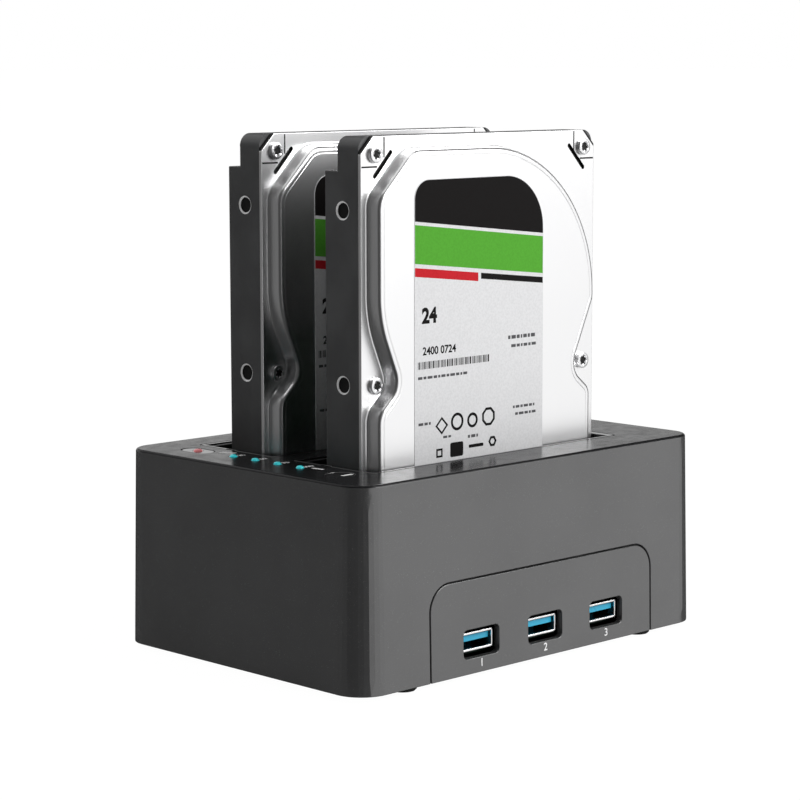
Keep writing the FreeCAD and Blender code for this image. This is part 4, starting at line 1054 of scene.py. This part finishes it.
class DUPLICATOR_OT_bays(Operator):
    """Builds the bay frames with their flaps, pins and springs"""

    bl_idname = "duplicator.bays"
    bl_label = "Bays and flaps"

    def execute(self, context):
        edge = context.scene.duplicator_dock.edge
        for bay, _ in BAYS:
            well = from_solid(bay + "_bay_frame", bay + "_bay_well", "frame", edge)
            hand_over(well, "dock", bay + "_bay_frame", slot="dock_deck")
            flap = from_solid(bay + "_flap", bay + "_dust_flap", "flap", edge)
            hand_over(flap, bay + "_flap", bay + "_flap", slot="flap_plastic")
            paint_nodes(
                bay + "_", flap_pin="steel", flap_spring="steel", socket="black", socket_contacts="gold"
            )
        return {"FINISHED"}


def wall_front(z):
    """Where the leaning front wall stands at a height."""
    return -(BODY_D / 2 + WALL_FLARE * (DECK_Z - z) / BODY_H)


def port_mouth(name, x):
    """The bright rolled edge round a data port's mouth."""
    mould = Mould()
    sunk, half_width, half_height = 1.8, 6.55, 2.85
    place = facing_front(wall_front(PORT_Z) + sunk)
    across, up = (x - half_width, x + half_width), (PORT_Z - half_height, PORT_Z + half_height)
    outline = rectangle(across, up, 0.6)
    steps = corner_steps(outline)
    profile = (
        (0.0, -0.3), (0.0, 0.02), (-0.08, 0.12), (-0.36, 0.16), (-0.62, 0.12), (-0.74, 0.0), (-0.74, -0.3)
    )
    rings = [[place(p, rise) for p in rounded(grown(outline, out), steps)] for out, rise in profile]
    made = mould.stack(rings)
    mould.join(made[-1], made[0])
    return mould.finish(name, ["edge"], 60.0)


class DUPLICATOR_OT_ports(Operator):
    """Builds the data ports and their numbers"""

    bl_idname = "duplicator.ports"
    bl_label = "Ports"

    def execute(self, context):
        # The port shells' finish paints shade, darker towards their backs.
        paint_nodes(
            usb_shells="port_plate_painted_shade", usb_tongues="tongue", usb_contacts="gold", host_port_shell="plated",
            host_port_tongue="tongue", power_jack="black", power_jack_pin="plated",
        )
        number_z, size, proud = 4.7, 3.4, 0.02
        for i in range(3):
            x = PORT_X + (i - 1) * PORT_PITCH
            place = facing_front_matrix(x, wall_front(number_z) - proud, number_z, DRAFT)
            number = words("port_number_%d" % (i + 1), str(i + 1), size, place, "white_ink", 0.04)
            hand_over(number, "dock")
            mouth = port_mouth("port_mouth_%d" % (i + 1), x)
            hand_over(mouth, "dock", slot="port_steel")
        return {"FINISHED"}


def lens_domes(name, finish, places, foot, radius):
    """Low clear domes that stand over lamps."""
    mould = Mould()
    profile = ((1.0, -0.05), (1.0, 0.16), (0.93, 0.36), (0.77, 0.50), (0.55, 0.59), (0.27, 0.63))
    for x, y in places:
        rings = []
        for share, up in profile:
            rings.append([Vector((p.x, p.y, foot + up)) for p in circle(x, y, radius * share, 32)])
        mould.cap(mould.stack(rings))
    return mould.finish(name, [finish], 60.0)


def top_middle(node):
    """The middle of a CAD node in plan and the height of its top, in millimetres."""
    points = [vert.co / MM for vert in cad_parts[node].data.vertices]
    x, y = [(min(p[k] for p in points) + max(p[k] for p in points)) / 2 for k in (0, 1)]
    return x, y, max(p.z for p in points)


# Printed marks as corners (right, back, radius) of the deck
DECK_MARKS = (
    [(-61.0, 24.3, 0.1), (-59.7, 19.3, 0.1), (-57.0, 19.8, 0.1), (-58.3, 24.8, 0.1)],
    [(-60.9, -17.8, 0.1), (-60.3, -22.0, 0.1), (-59.0, -21.8, 0.1), (-59.6, -17.6, 0.1)],
)
KEY_MARK = rectangle((-63.2, -59.0), (-34.1, -32.9), 0.1)


def printed_bars(name, bars, height):
    """Plain printed bars on a level surface."""
    mould = Mould()
    for corners in bars:
        mould.plate(corners, level(height), -0.02, 0.015, 0.005)
    return mould.finish(name, ["white_ink"], 30.0)


class DUPLICATOR_OT_keys(Operator):
    """Builds the keys, lamps and marks of the deck's margin"""

    bl_idname = "duplicator.keys"
    bl_label = "Keys and lamps"

    def execute(self, context):
        for node, body in (("power_button", "power_key"), ("clone_button", "clone_key")):
            cap = from_solid(node, node + "_cap", "key", 0.0002)
            hand_over(cap, body, node, slot="key_black")
        hand_over(printed_bars("deck_marks", DECK_MARKS, DECK_Z), "dock")
        hand_over(printed_bars("clone_key_mark", [KEY_MARK], top_middle("clone_button")[2]), "clone_key")
        lamps = [(LAMP_X, LAMP_Y - LAMP_PITCH * i) for i in range(4)]
        progress = lens_domes("progress_lens_domes", "teal", lamps, DECK_Z, 1.05)
        hand_over(progress, "dock", slot="teal_lens")
        x, y, z = top_middle("power_light_pipe")
        power = lens_domes("power_lens_dome", "red", [(x, y)], z, 1.3)
        hand_over(power, "power_key", slot="red_lens")
        number_x, number_y, size, proud = -59.2, 15.3, 2.6, 0.01
        for i in range(4):
            place = Matrix.Translation((number_x, number_y - LAMP_PITCH * i, DECK_Z + proud))
            percent = str(25 * (i + 1))
            number = words("lamp_number_%d" % (i + 1), percent, size, place, "white_ink", 0.13)
            hand_over(number, "dock")
        paint_nodes(
            power_light_pipe="red", progress_light_pipes="teal", indicator_board="board",
            indicator_lamps="lamp", key_switches="black",
        )
        return {"FINISHED"}


class DUPLICATOR_OT_inside(Operator):
    """Finishes the boards, chips and screws inside the dock"""

    bl_idname = "duplicator.inside"
    bl_label = "Inside"

    def execute(self, context):
        paint_nodes(
            main_board="board", bridge_chips="black", capacitors="tin", board_screws="steel",
            cover_screws="steel",
        )
        return {"FINISHED"}


# ---------------------------------------------------------------- stage


# The floor and the lamp in metres; the camera's place in millimetres, and its azimuth, elevation
# and roll in degrees
FLOOR_REACH = 40.0
KEY_LAMP_PLACE = (0.55, -0.95, 0.75)
KEY_LAMP_SIZE = 0.9
KEY_LAMP_AIM = (0.0, 0.0, 0.07)
CAMERA_PLACE = (-551.24, -555.75, 181.49)
CAMERA_TURN = (-44.413, 7.708, -0.104)


class DUPLICATOR_OT_stage(Operator):
    """Sets the floor, the soft studio light and the camera"""

    bl_idname = "duplicator.stage"
    bl_label = "Stage"

    def execute(self, context):
        stage = context.scene.duplicator_stage
        self.surroundings(context, stage)
        self.floor(context)
        self.key_lamp(context, stage)
        self.camera(context, stage)
        context.scene.view_settings.view_transform = "Standard"
        return {"FINISHED"}

    def surroundings(self, context, stage):
        """White for the camera; for the pieces, soft panels that light them and mirror in them."""
        f = Finish("studio", world=True)
        way = f.node("ShaderNodeTexCoord", output="Generated")
        apart = f.tree.nodes.new("ShaderNodeSeparateXYZ")
        f.tree.links.new(way.socket, apart.inputs[0])
        x, y, z = [Value(f, out) for out in apart.outputs]
        # A broad panel stands in front on the right and a low one behind. Others hang above the
        # back, behind on the left, and overhead.
        panel = (x * 0.438 - y * 0.899).fade(0.72, 0.83) * (1.0 - z.fade(0.05, 0.20) * 0.85)
        low = (x * 0.34 + y * 0.94).fade(0.58, 0.93) * z.fade(0.03, 0.11) * (1.0 - z.fade(0.14, 0.32))
        above = (y * 0.72 + z * 0.68 - x * 0.12).fade(0.78, 0.92)
        beside = (y * 0.7 - x * 0.7).fade(0.55, 0.95)
        overhead = z.fade(0.84, 0.97)
        glow = 0.05 + panel * 0.95 + low * 0.92 + above * 0.85 + beside * 0.10 + overhead
        seen = f.node("ShaderNodeLightPath", output="Is Camera Ray")
        bright = f.node("ShaderNodeBackground", None, {"Color": (1, 1, 1), "Strength": 1.0})
        soft = f.node("ShaderNodeBackground", None, {"Color": (1, 1, 1), "Strength": glow * stage.fill})
        f.close(f.node("ShaderNodeMixShader", None, {0: seen, 1: soft, 2: bright}))
        context.scene.world = f.owner

    def floor(self, context):
        """A white floor that keeps the shadow, and is clear from below and to glossy rays."""
        data = bpy.data.meshes.new("floor")
        corners = [(x * FLOOR_REACH, y * FLOOR_REACH, 0) for x, y in ((-1, -1), (1, -1), (1, 1), (-1, 1))]
        data.from_pydata(corners, [], [(0, 1, 2, 3)])
        floor = bpy.data.objects.new("floor", data)
        context.scene.collection.objects.link(floor)
        f = Finish("floor_white")
        seen = f.node("ShaderNodeLightPath", output="Is Camera Ray")
        mirrored = f.node("ShaderNodeLightPath", output="Is Glossy Ray")
        matt = f.node("ShaderNodeBsdfDiffuse", None, {"Color": (0.80, 0.80, 0.80)})
        white = f.node("ShaderNodeEmission", None, {"Color": (1, 1, 1), "Strength": 1.04})
        clear = f.node("ShaderNodeBsdfTransparent", None, {"Color": (1, 1, 1)})
        ground = f.node("ShaderNodeMixShader", None, {0: seen * 0.95, 1: matt, 2: white})
        below = f.node("ShaderNodeNewGeometry", output="Backfacing")
        hidden = 1.0 - (1.0 - mirrored) * (1.0 - below)
        f.close(f.node("ShaderNodeMixShader", None, {0: hidden, 1: ground, 2: clear}))
        data.materials.append(f.owner)

    def key_lamp(self, context, stage):
        """One square soft lamp in front, high on the right."""
        light = bpy.data.lights.new("key", "AREA")
        light.shape = "SQUARE"
        light.size = KEY_LAMP_SIZE
        light.energy = stage.key
        lamp = bpy.data.objects.new("key", light)
        context.scene.collection.objects.link(lamp)
        lamp.location = KEY_LAMP_PLACE
        aim = Vector(KEY_LAMP_AIM) - Vector(KEY_LAMP_PLACE)
        lamp.rotation_euler = aim.to_track_quat("-Z", "Y").to_euler()

    def camera(self, context, stage):
        """Looks along its azimuth and elevation from its place, rolled a little."""
        azimuth, elevation, roll = (math.radians(a) for a in CAMERA_TURN)
        back = Vector((
            math.sin(azimuth) * math.cos(elevation), -math.cos(azimuth) * math.cos(elevation),
            math.sin(elevation),
        ))
        level_right = Vector((0, 0, 1)).cross(back).normalized()
        level_up = back.cross(level_right)
        right = level_right * math.cos(roll) + level_up * math.sin(roll)
        up = level_up * math.cos(roll) - level_right * math.sin(roll)
        turn = Matrix((right, up, back)).transposed()
        data = bpy.data.cameras.new("camera")
        data.sensor_width = 36.0
        data.lens = stage.lens / MM
        data.clip_start, data.clip_end = 0.02, 60.0
        camera = bpy.data.objects.new("camera", data)
        context.scene.collection.objects.link(camera)
        camera.matrix_world = Matrix.Translation(Vector(CAMERA_PLACE) * MM) @ turn.to_4x4()
        context.scene.camera = camera


# ---------------------------------------------------------------- add-on


OPERATORS = (
    DUPLICATOR_OT_body,
    DUPLICATOR_OT_bays,
    DUPLICATOR_OT_ports,
    DUPLICATOR_OT_keys,
    DUPLICATOR_OT_inside,
    DUPLICATOR_OT_drives,
    DUPLICATOR_OT_stage,
)


class DUPLICATOR_PT_panel(Panel):
    """Lists the operators that build the duplicator"""

    bl_label = "Drive duplicator"
    bl_space_type = "VIEW_3D"
    bl_region_type = "UI"
    bl_category = "Duplicator"

    def draw(self, context):
        scene = context.scene
        for group in (scene.duplicator_dock, scene.duplicator_drive, scene.duplicator_stage):
            column = self.layout.column()
            for name in group.bl_rna.properties.keys():
                if name not in ("rna_type", "name"):
                    column.prop(group, name)
        for operator in OPERATORS:
            self.layout.operator(operator.bl_idname)


CLASSES = (DockSettings, DriveSettings, StageSettings) + OPERATORS + (DUPLICATOR_PT_panel,)


def register():
    for cls in CLASSES:
        bpy.utils.register_class(cls)
    bpy.types.Scene.duplicator_dock = PointerProperty(type=DockSettings)
    bpy.types.Scene.duplicator_drive = PointerProperty(type=DriveSettings)
    bpy.types.Scene.duplicator_stage = PointerProperty(type=StageSettings)


def unregister():
    del bpy.types.Scene.duplicator_stage
    del bpy.types.Scene.duplicator_drive
    del bpy.types.Scene.duplicator_dock
    for cls in reversed(CLASSES):
        bpy.utils.unregister_class(cls)


def main():
    register()
    scene = bpy.context.scene
    FINISH.update(make_finishes(scene.duplicator_dock, scene.duplicator_drive))
    for operator in OPERATORS:
        group, name = operator.bl_idname.split(".")
        getattr(getattr(bpy.ops, group), name)()


if __name__ == "__main__":
    main()
